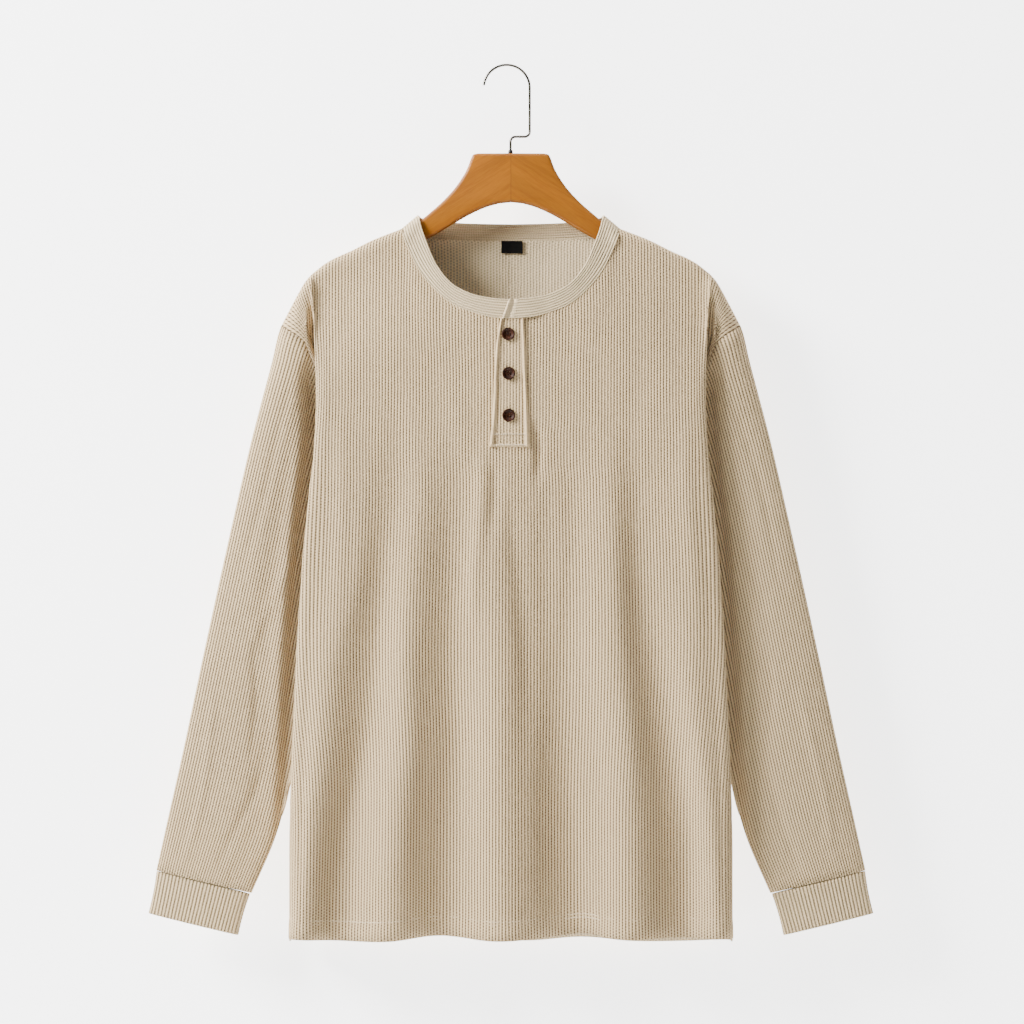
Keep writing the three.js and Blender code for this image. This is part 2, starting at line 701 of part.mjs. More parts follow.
// The placket's upper strip lies on the front, with a raised rolled edge on each side
const PLACKET_EDGE = table('height left right', [
  [-253.6, -10.5, 13],
  [-274, -14, 14.2],
  [-301, -16.3, 15.2],
  [-339, -17.8, 17],
  [-382, -21.5, 18.6],
]);
const PLACKET_PROFILE = table('share rise', [
  [0, 0],
  [0.03, 0.9],
  [0.08, 0.2],
  [0.3, 0],
  [0.6, 0],
  [0.88, 0.2],
  [0.95, 0.8],
  [1, 0],
]);

function placketOver() {
  const steps = 12;
  const grid = range(steps + 1).map((row) => {
    const height = lerp(PLACKET_TOP, PLACKET_BOTTOM, row / steps);
    const left = readAt(PLACKET_EDGE, 'left', height);
    const right = readAt(PLACKET_EDGE, 'right', height);
    return PLACKET_PROFILE.map(({ share, rise }) => {
      const x = lerp(left, right, share);
      return vector(x, -BODY_DEPTH - SEAM_GAP - CLOTH - rise, height);
    });
  });
  const facing = () => vector(0, -1, 0);
  return flatBacked(grid, -BODY_DEPTH - SEAM_GAP, facing);
}

// A strip whose inner points all lie on one plane, so that it sits flat on what is under it
function flatBacked(grid, plane, facing) {
  const flat = wall(grid, { thickness: CLOTH, side: -1, facing });
  const positions = flat.getAttribute('position');
  const innermost = -BODY_DEPTH - SEAM_GAP - CLOTH + HALF_GAP;
  for (const i of range(positions.count)) {
    if (positions.getY(i) > innermost) positions.setY(i, plane);
  }
  return flat;
}

// The placket's lower strip fills the slot, level with the front
function placketUnder() {
  const steps = 6;
  const bottom = rowHeight(neckSeamAt(0).z, SLOT_ROW) + 3 * SEAM_GAP;
  const half = PLACKET_HALF - SEAM_GAP;
  const grid = range(steps + 1).map((row) => {
    const height = lerp(UNDER_TOP, bottom, row / steps);
    return [-half, 0, half].map((x) => vector(x, -BODY_DEPTH, height));
  });
  return wall(grid, { thickness: CLOTH, side: -1, facing: () => vector(0, -1, 0) });
}

// Solids that are cut or joined
function toManifold(geometry) {
  const bare = geometry.clone();
  bare.deleteAttribute('normal');
  bare.deleteAttribute('uv');
  const merged = mergeVertices(bare, 1e-4);
  const vertProperties = new Float32Array(merged.getAttribute('position').array);
  const triVerts = new Uint32Array(merged.getIndex().array);
  return new wasm.Manifold(new wasm.Mesh({ numProp: 3, vertProperties, triVerts }));
}

function fromManifold(solid) {
  const mesh = solid.getMesh();
  const geometry = new THREE.BufferGeometry();
  geometry.setAttribute('position', new THREE.Float32BufferAttribute(mesh.vertProperties, 3));
  geometry.setIndex(new THREE.Uint32BufferAttribute(mesh.triVerts, 1));
  geometry.computeVertexNormals();
  return geometry;
}

// A dished button with a raised rim and four thread holes, its face towards -Y
const BUTTON = { radius: 6.5, rim: 4.9, thick: 2.6, dish: 1.7, hole: 0.75, holeSpread: 1.5 };

function button() {
  const { radius, rim, thick, dish, hole, holeSpread } = BUTTON;
  const profile = [
    [0, 0],
    [radius - 0.6, 0],
    [radius, 0.9],
    [radius - 0.2, thick - 0.5],
    [radius - 0.8, thick],
    [rim, dish],
    [0, dish],
  ].map(([x, y]) => new THREE.Vector2(x, y));
  let solid = toManifold(new THREE.LatheGeometry(profile, 16));
  for (const [sx, sz] of [[1, 1], [1, -1], [-1, 1], [-1, -1]]) {
    const drill = new THREE.CylinderGeometry(hole, hole, 6, 6);
    drill.translate(sx * holeSpread, dish / 2, sz * holeSpread);
    solid = solid.subtract(toManifold(drill));
  }
  const geometry = fromManifold(solid);
  geometry.rotateX(Math.PI);
  return geometry;
}

// The label lies on the inside of the back, just under the neck seam
function neckLabel() {
  const grid = range(3).map((row) =>
    range(5).map((column) => {
      const x = lerp(-9.7, 11.8, column / 4);
      const height = lerp(-178, -190, row / 2);
      const seam = NECK_LINES.back.seam.getPoint(1);
      const shift = seam.y - facePoint(1, 0, seam.z).y;
      const back = facePoint(1, x, height).y + shift * (1 - ease((seam.z - height) / 60));
      return vector(x, back - CLOTH - SEAM_GAP - LABEL_CLOTH, height);
    })
  );
  return wall(grid, { thickness: LABEL_CLOTH, side: -1, facing: () => vector(0, -1, 0) });
}

// The hanger's outline on one side, from the middle of its top to the middle of its arch
const HANGER_TOP = table('across height', [
  [0, -87.5],
  [35, -87.8],
  [38.6, -89.6],
  [40.4, -94],
  [43, -101],
  [46.4, -108],
  [56.4, -122.8],
  [69.6, -137],
  [81, -147],
  [92, -156],
]);
const HANGER_UNDER = table('across height', [
  [188, -226.5],
  [150, -209],
  [120, -193.5],
  [84.6, -174],
  [68, -164.5],
  [54.7, -156.4],
  [41.4, -148.9],
  [25, -141.5],
  [12, -137.8],
  [0, -136.5],
]);
const HANGER_CLEAR = 3.6; // the arm's top lies this far under the cloth's outer face
const HANGER_NECK_CLEAR = 1.8; // and this much further under the neckband
const HANGER_THICK = 12;
const HANGER_ROUND = 5;
const HANGER_TIP = table('across height', [
  [201.5, -215.5],
  [204, -222.5],
  [199.5, -229],
]);
const WIRE = 1.2; // radius of the hook's wire
const BORE_CLEAR = 0.4; // room round it in the wood

function hanger() {
  const arm = [104, 116, 128, 140, 152, 164, 176, 187, 195].map((across) => ({
    across,
    height: shoulderHeight(across) - HANGER_CLEAR - HANGER_NECK_CLEAR * ease((124 - across) / 16),
  }));
  const half = [...HANGER_TOP, ...arm, ...HANGER_TIP, ...HANGER_UNDER];
  const right = half.map((row) => new THREE.Vector2(row.across, row.height));
  const left = half.slice(1, -1).reverse().map((row) => new THREE.Vector2(-row.across, row.height));
  const shape = new THREE.Shape([...right, ...left]);
  const geometry = new THREE.ExtrudeGeometry(shape, {
    depth: HANGER_THICK - 2 * HANGER_ROUND,
    bevelEnabled: true,
    bevelThickness: HANGER_ROUND,
    bevelSize: HANGER_ROUND,
    bevelOffset: -HANGER_ROUND,
    bevelSegments: 2,
    curveSegments: 1,
  });
  geometry.translate(0, 0, -(HANGER_THICK - 2 * HANGER_ROUND) / 2);
  geometry.rotateX(Math.PI / 2);
  const bore = WIRE + BORE_CLEAR;
  const drill = new THREE.CylinderGeometry(bore, bore, 30, 12);
  drill.rotateX(Math.PI / 2);
  drill.translate(HOOK.stem - CENTRE_X, 0, -90);
  return fromManifold(toManifold(geometry).subtract(toManifold(drill)));
}

// The hook: a crook over the rail, a straight drop, a step back to the middle and a stem in the wood
const HOOK = { radius: 23, centreZ: -21.8, dropZ: -70.8, stem: 3.8, endZ: -98, bend: 5 };

function hook() {
  const { radius, centreZ, dropZ, stem, endZ, bend } = HOOK;
  const path = new THREE.CurvePath();
  const arc = range(13).map((k) => {
    const turn = lerp(Math.PI * 0.965, 0, k / 12);
    return vector(radius * Math.cos(turn), 0, centreZ + radius * Math.sin(turn));
  });
  const corner = (from, at, to) => {
    path.add(new THREE.QuadraticBezierCurve3(from, at, to));
  };
  path.add(new THREE.CatmullRomCurve3(arc));
  const dropEnd = vector(radius, 0, dropZ + bend);
  path.add(new THREE.LineCurve3(arc[12], dropEnd));
  const stepStart = vector(radius - bend, 0, dropZ);
  corner(dropEnd, vector(radius, 0, dropZ), stepStart);
  const stepEnd = vector(stem + bend, 0, dropZ);
  path.add(new THREE.LineCurve3(stepStart, stepEnd));
  const stemStart = vector(stem, 0, dropZ - bend);
  corner(stepEnd, vector(stem, 0, dropZ), stemStart);
  path.add(new THREE.LineCurve3(stemStart, vector(stem, 0, endZ)));
  const section = new THREE.Shape();
  section.absarc(0, 0, WIRE, 0, 2 * Math.PI);
  return new THREE.ExtrudeGeometry(section, { steps: 40, curveSegments: 4, extrudePath: path });
}

function ferrule() {
  const inside = WIRE + 0.3;
  const profile = [
    [inside, 0],
    [inside + 0.9, 0],
    [inside + 0.7, 3],
    [inside, 3],
    [inside, 0],
  ].map(([x, y]) => new THREE.Vector2(x, y));
  const geometry = new THREE.LatheGeometry(profile, 16);
  geometry.rotateX(Math.PI / 2);
  return geometry;
}

const shirt = new THREE.Group();
shirt.position.x = CENTRE_X;
const object = new THREE.Group();
object.add(shirt);

function place(parent, name, geometry, material, position = [0, 0, 0]) {
  const mesh = new THREE.Mesh(geometry, material);
  mesh.name = name;
  mesh.position.set(...position);
  parent.add(mesh);
}

place(shirt, 'front', frontPanel(), CLOTH_PAINT);
place(shirt, 'back', backPanel(), CLOTH_PAINT);
place(shirt, 'sleeve_left', sleeve(-1), CLOTH_PAINT);
place(shirt, 'sleeve_right', sleeve(1), CLOTH_PAINT);
place(shirt, 'cuff_left', cuff(-1), RIB_PAINT);
place(shirt, 'cuff_right', cuff(1), RIB_PAINT);
place(shirt, 'neckband', neckband(), RIB_PAINT);
place(shirt, 'placket_over', placketOver(), CLOTH_PAINT);
place(shirt, 'placket_under', placketUnder(), CLOTH_PAINT);
place(shirt, 'neck_label', neckLabel(), LABEL_PAINT);

const BUTTONS = table('name across height', [
  ['button_top', -2.7, -269.3],
  ['button_middle', -2.2, -308.5],
  ['button_bottom', -2.2, -350.3],
]);
const BUTTON_SEAT = -BODY_DEPTH - CLOTH - 2 * SEAM_GAP;
for (const { name, across, height } of BUTTONS) {
  place(shirt, name, button(), BUTTON_PAINT, [across, BUTTON_SEAT, height]);
}

place(shirt, 'hanger', hanger(), WOOD_PAINT);
place(object, 'hanger_hook', hook(), WIRE_PAINT);
place(object, 'hook_ferrule', ferrule(), FERRULE_PAINT, [HOOK.stem, 0, -87.2]);

export default object;
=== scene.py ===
import math

import bmesh
import bpy
import numpy as np
from mathutils import Matrix, Vector


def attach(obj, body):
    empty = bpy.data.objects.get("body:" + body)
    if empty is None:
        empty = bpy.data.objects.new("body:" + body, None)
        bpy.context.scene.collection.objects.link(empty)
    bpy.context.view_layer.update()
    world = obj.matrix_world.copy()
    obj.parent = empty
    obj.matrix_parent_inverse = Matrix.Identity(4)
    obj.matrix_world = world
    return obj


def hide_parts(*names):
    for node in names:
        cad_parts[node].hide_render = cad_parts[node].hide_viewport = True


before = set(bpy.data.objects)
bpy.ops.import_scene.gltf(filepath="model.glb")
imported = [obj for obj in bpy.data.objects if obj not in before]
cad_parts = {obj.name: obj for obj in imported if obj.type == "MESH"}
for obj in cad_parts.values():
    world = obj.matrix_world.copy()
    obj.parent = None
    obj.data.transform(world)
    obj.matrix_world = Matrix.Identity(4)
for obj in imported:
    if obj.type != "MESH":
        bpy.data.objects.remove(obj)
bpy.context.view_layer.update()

bl_info = {
    "name": "Henley shirt on a hanger",
    "version": (1, 0, 0),
    "blender": (4, 5, 0),
    "location": "3D View > Sidebar > Henley",
    "description": "Builds a waffle-knit henley shirt on a wooden hanger, piece by piece",
    "category": "Object",
}

# Sizes below are in millimetres: x from the shirt's centre line, y back, z up from the hook's crown.
# A row named height or across is a place, and depth is a distance from the mid plane.
MM = 0.001
CENTRE_X = 4.2
HEM_FRONT = -873
HEM_BACK = -877
UNDERARM = -390
SHOULDER_ROUND = 10
BODY_DEPTH = 28
DEPTH_RUN = 125
EDGE_ROLL = 12
FACE_HALF = 184
FLAT_HALF = 250
NECK_HALF = 108.5
SLOT_HALF = 9.5
SLOT_BOTTOM = -364
HALF_GAP = 0.15
SEAM_GAP = 0.3
RIB_PITCH = 3.1
STITCH_PITCH = 2.9
FACE_POINTS = 260
BAND_LAP = 0.8
BAND_STATIONS = 230
NECK_RUN = 60
CORNER_RUN = 14
TUBE_SHAPE = 0.75
SEAM_DEPTH = 22.6
SEAM_HEIGHT = -174
STRIP_WALL = 1.6
HEM_STITCHES = (14.8, 18.2)
BOX_STITCHES = (-368.8, -379.8)
LOOK = "_look"


def table(names, rows):
    """A table with named columns, one row for each section or fold."""
    columns = np.array(rows, float).T
    return dict(zip(names.split(), columns))


OUTLINE = table("height across", [
    (-108, 0), (-162.5, 108.5), (-175, 140), (-185, 160), (-195, 181.5), (-205, 196), (-215, 205.5),
    (-235, 217), (-260, 230), (-295, 239), (-375, 260), (-455, 278.5), (-575, 305), (-695, 330.5),
    (-755, 344), (-806, 355.3)])

SLEEVE_INNER = table("height across", [
    (-390, 150), (-430, 161), (-500, 176), (-600, 197), (-712, 220), (-770, 235), (-829, 260)])

SIDE_FOLD = table("height ridge ridgeDepth tuck tuckDepth lip lipDepth", [
    (-207, 199.5, 14, 204, 13, 209, 11),
    (-226, 199, 17, 203, 15.5, 208.5, 13),
    (-245, 197.2, 18.8, 199.5, 11, 205, 14.5),
    (-260, 196, 20.5, 198.5, 9, 204.5, 15),
    (-277, 195.5, 22, 198, 8.5, 203.5, 13.5),
    (-287, 195.2, 22.5, 197, 9, 200, 11.5),
    (-315, 195, 23, 193, 14, 189, 12.5),
    (-345, 195, 22.5, 191.5, 19.3, 174, 18),
    (-390, 197.5, 23, 193.5, 19.3, 156, 15.8),
    (-428, 201.7, 23, 197.7, 19, 156.5, 15.5),
    (-475, 206.6, 23, 202.6, 19, 161, 15.5),
    (-526, 210.4, 23, 206.4, 19, 171, 15.5),
    (-581, 214, 22.5, 210, 18.5, 183, 15.5),
    (-635, 216.6, 22, 212.8, 18, 195, 14.5),
    (-705, 219.7, 20.5, 217, 16, 210, 11.5),
    (-760, 221.2, 18.5, 220, 13, 217.5, 8),
    (-880, 221.5, 16, 222.2, 10, 222, 5)])

SIDE_SEAM = table("height across", [
    (-390, 150), (-428, 150.6), (-475, 155), (-526, 165), (-581, 177), (-635, 190), (-705, 206),
    (-760, 215.5), (-880, 221.5)])

ARMHOLE = table("across depth height", [
    (230, 0, -260), (225, 8.5, -263.5), (217, 13.5, -268.5), (207, 14, -276), (199, 11.5, -287),
    (192.5, 10.5, -300), (185, 11, -315), (176, 12, -331), (166, 12, -348.5), (156, 9.5, -372),
    (150, HALF_GAP, -390)])

NECK_FRONT = table("seamX seamY seamZ edgeX edgeY edgeZ", [
    (0, -28, -253, 0, -28, -235), (20, -28, -251.3, 19, -28, -233.5),
    (40, -27.2, -246, 40, -27.2, -229), (58, -24.6, -238.5, 60, -24, -218),
    (76, -20.5, -223.5, 75, -19.5, -199), (91, -16, -205, 84.5, -15, -177),
    (101, -12.5, -185, 89.8, -11, -162), (106.8, -10.8, -170.5, 91.8, -7.8, -153.5),
    (108.5, 0, -162.5, 93, 0, -149.5)])
NECK_BACK = table("seamX seamY seamZ edgeX edgeY edgeZ", [
    (108.5, 0, -162.5, 93, 0, -149.5), (105, 9.5, -166, 89.5, 9.5, -152),
    (90, 14, -170, 76, 14.5, -154.6), (64, 18.5, -172.5, 52, 18.5, -156.6),
    (34, 21.6, -173.6, 27, 21.4, -157.4), (0, SEAM_DEPTH, SEAM_HEIGHT, 0, 22.4, -157.8)])

FOLD_NAMES = ("a", "ab", "b", "bc", "c", "cd", "d", "de", "e")
FOLD_PLACES = table("height a ab b bc c cd d de e", [
    (-435, -153, -121, -90, -54, -12, 54, 99, 129, 179),
    (-515, -159, -129, -99, -57, -15, 51, 102, 129, 179),
    (-595, -180, -138, -105, -60, -9, 51, 105, 141, 181),
    (-675, -189, -147, -105, -57, -10, 53, 114, 154, 189),
    (-755, -200, -162, -114, -63, -8, 58, 117, 168, 200),
    (-873, -208, -174, -120, -66, -6, 63, 120, 174, 208)])
FOLD_DEPTHS = (8, -9.5, 11, -11.5, 10.5, -13, 11, -10.5, 6)
FOLD_START = -372
FOLD_RUN = 430

BACK_FOLDS = table("across width depth", [
    (-150, 34, 5), (-78, 40, -6), (0, 44, 6), (82, 38, -6), (152, 34, 5)])

# How far the hem is lifted between the folds
HEM_WAVE = table("across lift", [
    (-222, 0), (-121, -1.6), (-76, 3), (-15, -1.6), (40, 2), (76, 5.5), (103, 0.6), (160, 1.5), (222, 0.4)])

# Lesser creases on the front and back: soft troughs (depth below 0) and ridges, top to bottom
FRONT_CREASES = table("topX topZ lowX lowZ width depth", [
    (24, -352, 27, -415, 5, -3.6), (-31, -372, -36, -560, 8, 3.2), (-19, -384, -16, -470, 6, -2.2),
    (4, -400, 12, -660, 10, -2.6),
    (44, -380, 50, -600, 10, 1.6), (-120, -300, -108, -470, 13, -1.3), (128, -290, 118, -470, 14, -1.2),
    (-165, -330, -176, -560, 8, 1.2), (172, -320, 186, -560, 8, 1.1), (-70, -300, -40, -400, 12, 0.9),
    (-150, -640, -185, -860, 9, -1.4), (150, -560, 196, -850, 10, -1.3), (20, -620, 28, -860, 11, 1.2),
    (-88, -560, -92, -860, 10, -1), (86, -640, 92, -860, 12, -1)])
BACK_CREASES = table("topX topZ lowX lowZ width depth", [
    (-60, -190, -96, -330, 16, 1.6), (64, -190, 100, -340, 15, 1.6), (-20, -210, -26, -420, 15, -1.1),
    (30, -240, 36, -480, 13, -1), (-170, -340, -180, -640, 9, 1.3), (168, -330, 184, -600, 9, 1.2),
    (-110, -520, -124, -860, 12, -1.6), (118, -560, 126, -860, 12, -1.5), (-38, -600, -34, -860, 11, 1.5),
    (44, -540, 52, -860, 12, 1.3)])
# Creases along a sleeve: shares round it and along it, from its outer edge and its armhole
SLEEVE_CREASES = table("topTurn topAlong lowTurn lowAlong width depth", [
    (0.12, 0.03, 0.1, 0.42, 0.02, -1.2), (0.3, 0.28, 0.2, 0.56, 0.022, 1.1),
    (0.2, 0.5, 0.32, 0.74, 0.02, -1.2), (0.1, 0.62, 0.14, 0.97, 0.02, 1.1),
    (0.36, 0.72, 0.3, 0.98, 0.022, -1.3), (0.85, 0.05, 0.8, 0.5, 0.025, -1.4),
    (0.7, 0.3, 0.76, 0.72, 0.022, 1.2), (0.9, 0.5, 0.86, 0.95, 0.022, -1.2),
    (0.62, 0.66, 0.68, 0.98, 0.02, 1.1)])

SLEEVE_VALLEY = table("height share depth", [
    (-300, 0.34, 0), (-375, 0.39, 3), (-526, 0.48, 3.5), (-603, 0.56, 3.5), (-710, 0.76, 3),
    (-800, 0.8, 1)])

PLACKET_EDGE = table("height left right", [
    (-253.6, -10.5, 13), (-274, -14, 14.2), (-301, -16.3, 15.2), (-339, -17.8, 17), (-382, -21.5, 18.6)])

HANGER_OUTLINE = table("across height", [
    (0, -87.5), (18, -87.5), (33, -87.6), (37.6, -88.8), (39.6, -92), (43, -101), (46.4, -108),
    (56.4, -122.8), (69.6, -137), (81, -147), (92, -156), (104, -163.3), (116, -169.3), (128, -174),
    (140, -178.6), (160, -188.6), (176, -196.2), (187, -202.6), (195, -208.6), (201.5, -215.5),
    (204, -222.5), (199.5, -229), (188, -226.5), (150, -209), (120, -193.5), (84.6, -174),
    (68, -164.5), (54.7, -156.4), (41.4, -148.9), (25, -141.5), (12, -137.8), (0, -136.5)])


def smooth(xs, ys, x):
    """The value at x of a smooth line through points whose xs rise."""
    x = np.clip(x, xs[0], xs[-1])
    slopes = np.gradient(ys, xs) if len(xs) > 2 else np.full(len(xs), (ys[1] - ys[0]) / (xs[1] - xs[0]))
    i = np.clip(np.searchsorted(xs, x, side="right") - 1, 0, len(xs) - 2)
    span = xs[i + 1] - xs[i]
    t = (x - xs[i]) / span
    rest = 1 - t
    start = rest * rest * ((1 + 2 * t) * ys[i] + t * span * slopes[i])
    end = t * t * ((3 - 2 * t) * ys[i + 1] - rest * span * slopes[i + 1])
    return start + end


def read_at(rows, column, height):
    """A table's column at heights, smoothly between its rows, whose heights fall."""
    return smooth(-rows["height"], rows[column], -np.asarray(height, float))


def ease(value):
    t = np.clip(value, 0, 1)
    return t * t * (3 - 2 * t)


def mix(a, b, share):
    return a + (b - a) * share


def curve(points, count):
    """Points at even steps of the parameter on a centripetal spline through the given ones."""
    p = np.asarray(points, float)
    p = np.vstack([2 * p[0] - p[1], p, 2 * p[-1] - p[-2]])
    knots = np.concatenate([[0], np.cumsum(np.sqrt(np.linalg.norm(np.diff(p, axis=0), axis=1)))])
    share = np.linspace(0, len(p) - 3, count)
    i = np.minimum(share.astype(int), len(p) - 4) + 1
    t = (knots[i] + (share - (i - 1)) * (knots[i + 1] - knots[i]))[:, None]
    k = [knots[i + o][:, None] for o in (-1, 0, 1, 2)]
    q = [p[i + o] for o in (-1, 0, 1, 2)]

    def between(a, b, ka, kb):
        return (kb - t) / (kb - ka) * a + (t - ka) / (kb - ka) * b

    first = [between(q[n], q[n + 1], k[n], k[n + 1]) for n in range(3)]
    second = [between(first[n], first[n + 1], k[n], k[n + 2]) for n in range(2)]
    return between(second[0], second[1], k[1], k[2])


def shoulder_height(across):
    return smooth(OUTLINE["across"], OUTLINE["height"], across)


def panel_depth(below):
    """How far a panel stands from the mid plane at a distance below the shoulder line."""
    rise = 1 - np.clip(below / SHOULDER_ROUND, 0, 1)
    over = SHOULDER_ROUND * np.sqrt(1 - rise * rise)
    return over + (BODY_DEPTH - SHOULDER_ROUND) * ease((below - 6) / DEPTH_RUN)


def bump(at, middle, width):
    """A smooth hill one high, at and about the middle."""
    return np.exp(-(((at - middle) / width) ** 2))


def creases(rows, x, z):
    """The push of a table's creases: each fades in from its top and out at its foot."""
    push = np.zeros(np.broadcast(x, z).shape)
    for top_x, top_z, low_x, low_z, width, depth in zip(*rows.values()):
        along = (z - top_z) / (low_z - top_z)
        middle = mix(top_x, low_x, along) + 0.35 * width * np.sin(5 * along + top_x)
        fade = ease(along / 0.3) * ease((1.15 - along) / 0.45)
        push += depth * fade * bump(x, middle, width)
    return push


def front_folds(x, z):
    """How far the hanging folds and creases push the front outwards."""
    grown = np.clip((FOLD_START - z) / FOLD_RUN, 0, 1) ** 0.7
    edge = read_at(SIDE_FOLD, "ridge", z)
    places = [read_at(FOLD_PLACES, name, z) for name in FOLD_NAMES]
    knots = np.stack(np.broadcast_arrays(-edge, *places, edge))
    depths = np.array([-2, *FOLD_DEPTHS, -2.0])
    i = np.clip((knots <= x).sum(0), 1, len(depths) - 1)
    low = np.take_along_axis(knots, (i - 1)[None], 0)[0]
    high = np.take_along_axis(knots, i[None], 0)[0]
    t = ease((x - low) / (high - low))
    return grown * mix(depths[i - 1], depths[i], t) + creases(FRONT_CREASES, x, z)


def back_folds(x, z):
    grown = ease((FOLD_START - z) / FOLD_RUN)
    push = sum(depth * bump(x, across, width) for across, width, depth in zip(*BACK_FOLDS.values()))
    return grown * push + creases(BACK_CREASES, x, z)


def face_depth(side, x, z):
    """A panel's distance from the mid plane on its flat face."""
    across = np.abs(x)
    folds = front_folds(x, z) if side < 0 else back_folds(x, z)
    below = shoulder_height(across) - z
    return panel_depth(below) + folds * ease(below / NECK_RUN)


def neck_line(rows, part, count=400):
    return curve(np.stack([rows[part + axis] for axis in "XYZ"], 1), count)


def side_stations(side, drop, below, hem):
    """The turned part's stations on one row: ridge, tuck, lip and seam."""
    stations = []
    for name, top_across in (("ridge", 199.5), ("tuck", 206.0), ("lip", 212.0)):
        top = shoulder_height(top_across)
        z = mix(UNDERARM, hem, drop) if below else mix(top, UNDERARM, drop)
        near = ease((top - z) / 22)
        across = mix(top_across, read_at(SIDE_FOLD, name, z), near)
        rounded = math.sqrt(1 - (1 - min(max((top - z) / SHOULDER_ROUND, 0), 1)) ** 2)
        depth = max(HALF_GAP, read_at(SIDE_FOLD, name + "Depth", z) * rounded)
        stations.append((across, side * depth, z))
    if below:
        z = mix(UNDERARM, hem, drop)
        stations.append((read_at(SIDE_SEAM, "across", z), side * HALF_GAP, z))
    else:
        stations.append(armhole_point(side, 10 * math.sqrt(drop)))
    return np.array(stations, float)


def armhole_point(side, step):
    """A point of the armhole seam, by steps from the shoulder (0) to the underarm (10)."""
    steps = np.arange(len(ARMHOLE["height"]), dtype=float)
    across, depth, z = (smooth(steps, ARMHOLE[name], step) for name in ("across", "depth", "height"))
    return float(across), side * max(float(depth), HALF_GAP), float(z)


def half_row(side, hand, seam, drop, below, hem):
    """One row of half a panel as a dense line, from the centre to the seam."""
    stations = side_stations(side, drop, below, hem)
    turned = curve(stations, 70)
    ridge = stations[0]
    x = np.linspace(0, ridge[0] - EDGE_ROLL, FACE_POINTS)
    top = np.where(x < NECK_HALF, np.interp(x, seam[:, 0], seam[:, 2]), shoulder_height(x))
    z = np.full_like(x, mix(UNDERARM, hem, drop)) if below else mix(top, UNDERARM, drop)
    depth = face_depth(side, hand * x, z)
    at_top = np.where(x < NECK_HALF, np.abs(np.interp(x, seam[:, 0], seam[:, 1])), HALF_GAP)
    shift = (at_top - face_depth(side, hand * x, top)) * ease(np.abs(NECK_HALF - x) / CORNER_RUN)
    depth = np.maximum(depth + shift * (1 - ease((top - z) / NECK_RUN)), HALF_GAP)
    face = np.stack([x, side * depth, z], 1)
    roll = np.linspace(0, 1, 16)[1:-1, None]
    over = 1 - np.sqrt(1 - roll * roll)
    last = face[-1]
    rolled = np.hstack([
        mix(last[0], ridge[0], roll), mix(last[1], ridge[1], over), mix(last[2], ridge[2], roll)])
    line = np.vstack([face, rolled, turned])
    steps = np.diff(line, axis=0)
    steps[:len(face), 2] = 0
    return line, np.concatenate([[0], np.cumsum(np.linalg.norm(steps, axis=1))])


def panel(side, neck, hem, upper, lower, step):
    """A panel's grid of points and its cloth coordinates, from its left seam to its right one."""
    seam = neck_line(neck, "seam")
    if side > 0:
        seam = seam[::-1]
    flat = np.linspace(0, FLAT_HALF, int(FLAT_HALF / step) + 1)
    rows = [((k / upper) ** 1.7, False) for k in range(upper + 1)]
    rows += [((k + 1) / lower, True) for k in range(lower)]
    grid = []
    for drop, below in rows:
        halves = []
        for hand in (-1, 1):
            line, arc = half_row(side, hand, seam, drop, below, hem)
            at_face = np.interp(FACE_HALF, line[:FACE_POINTS, 0], arc[:FACE_POINTS])
            held = np.where(
                flat < FACE_HALF,
                flat * at_face / FACE_HALF,
                mix(at_face, arc[-1], (flat - FACE_HALF) / (FLAT_HALF - FACE_HALF)),
            )
            even = flat * arc[-1] / FLAT_HALF
            place = mix(held, even, ease(drop / 0.8) if below else 0.0)
            halves.append(np.stack([np.interp(place, arc, line[:, i]) for i in range(3)], 1))
        left, right = halves
        left = left * (-1, 1, 1)
        grid.append(np.vstack([left[:0:-1], right]))
    across = np.concatenate([-flat[:0:-1], flat])
    grid = np.array(grid)
    low = ease((UNDERARM - grid[:, :, 2]) / 400)
    grid[:, :, 2] += low * smooth(HEM_WAVE["across"], HEM_WAVE["lift"], side * -grid[:, :, 0])
    return grid, np.broadcast_to(across / RIB_PITCH, grid.shape[:2])


def facing(grid, side, around=False):
    """Outward directions over a grid."""
    if around:
        ring = grid[:, :-1]
        across = np.roll(ring, -1, 1) - np.roll(ring, 1, 1)
        across = np.concatenate([across, across[:, :1]], 1)
    else:
        across = np.gradient(grid, axis=1)
    out = side * np.cross(across, np.gradient(grid, axis=0))
    return out / np.maximum(np.linalg.norm(out, axis=2, keepdims=True), 1e-9)


def rib(turns, rise):
    """A knit rib's height: a round top and a narrow valley, one rib a turn."""
    return rise * np.abs(np.cos(math.pi * turns)) ** 0.7


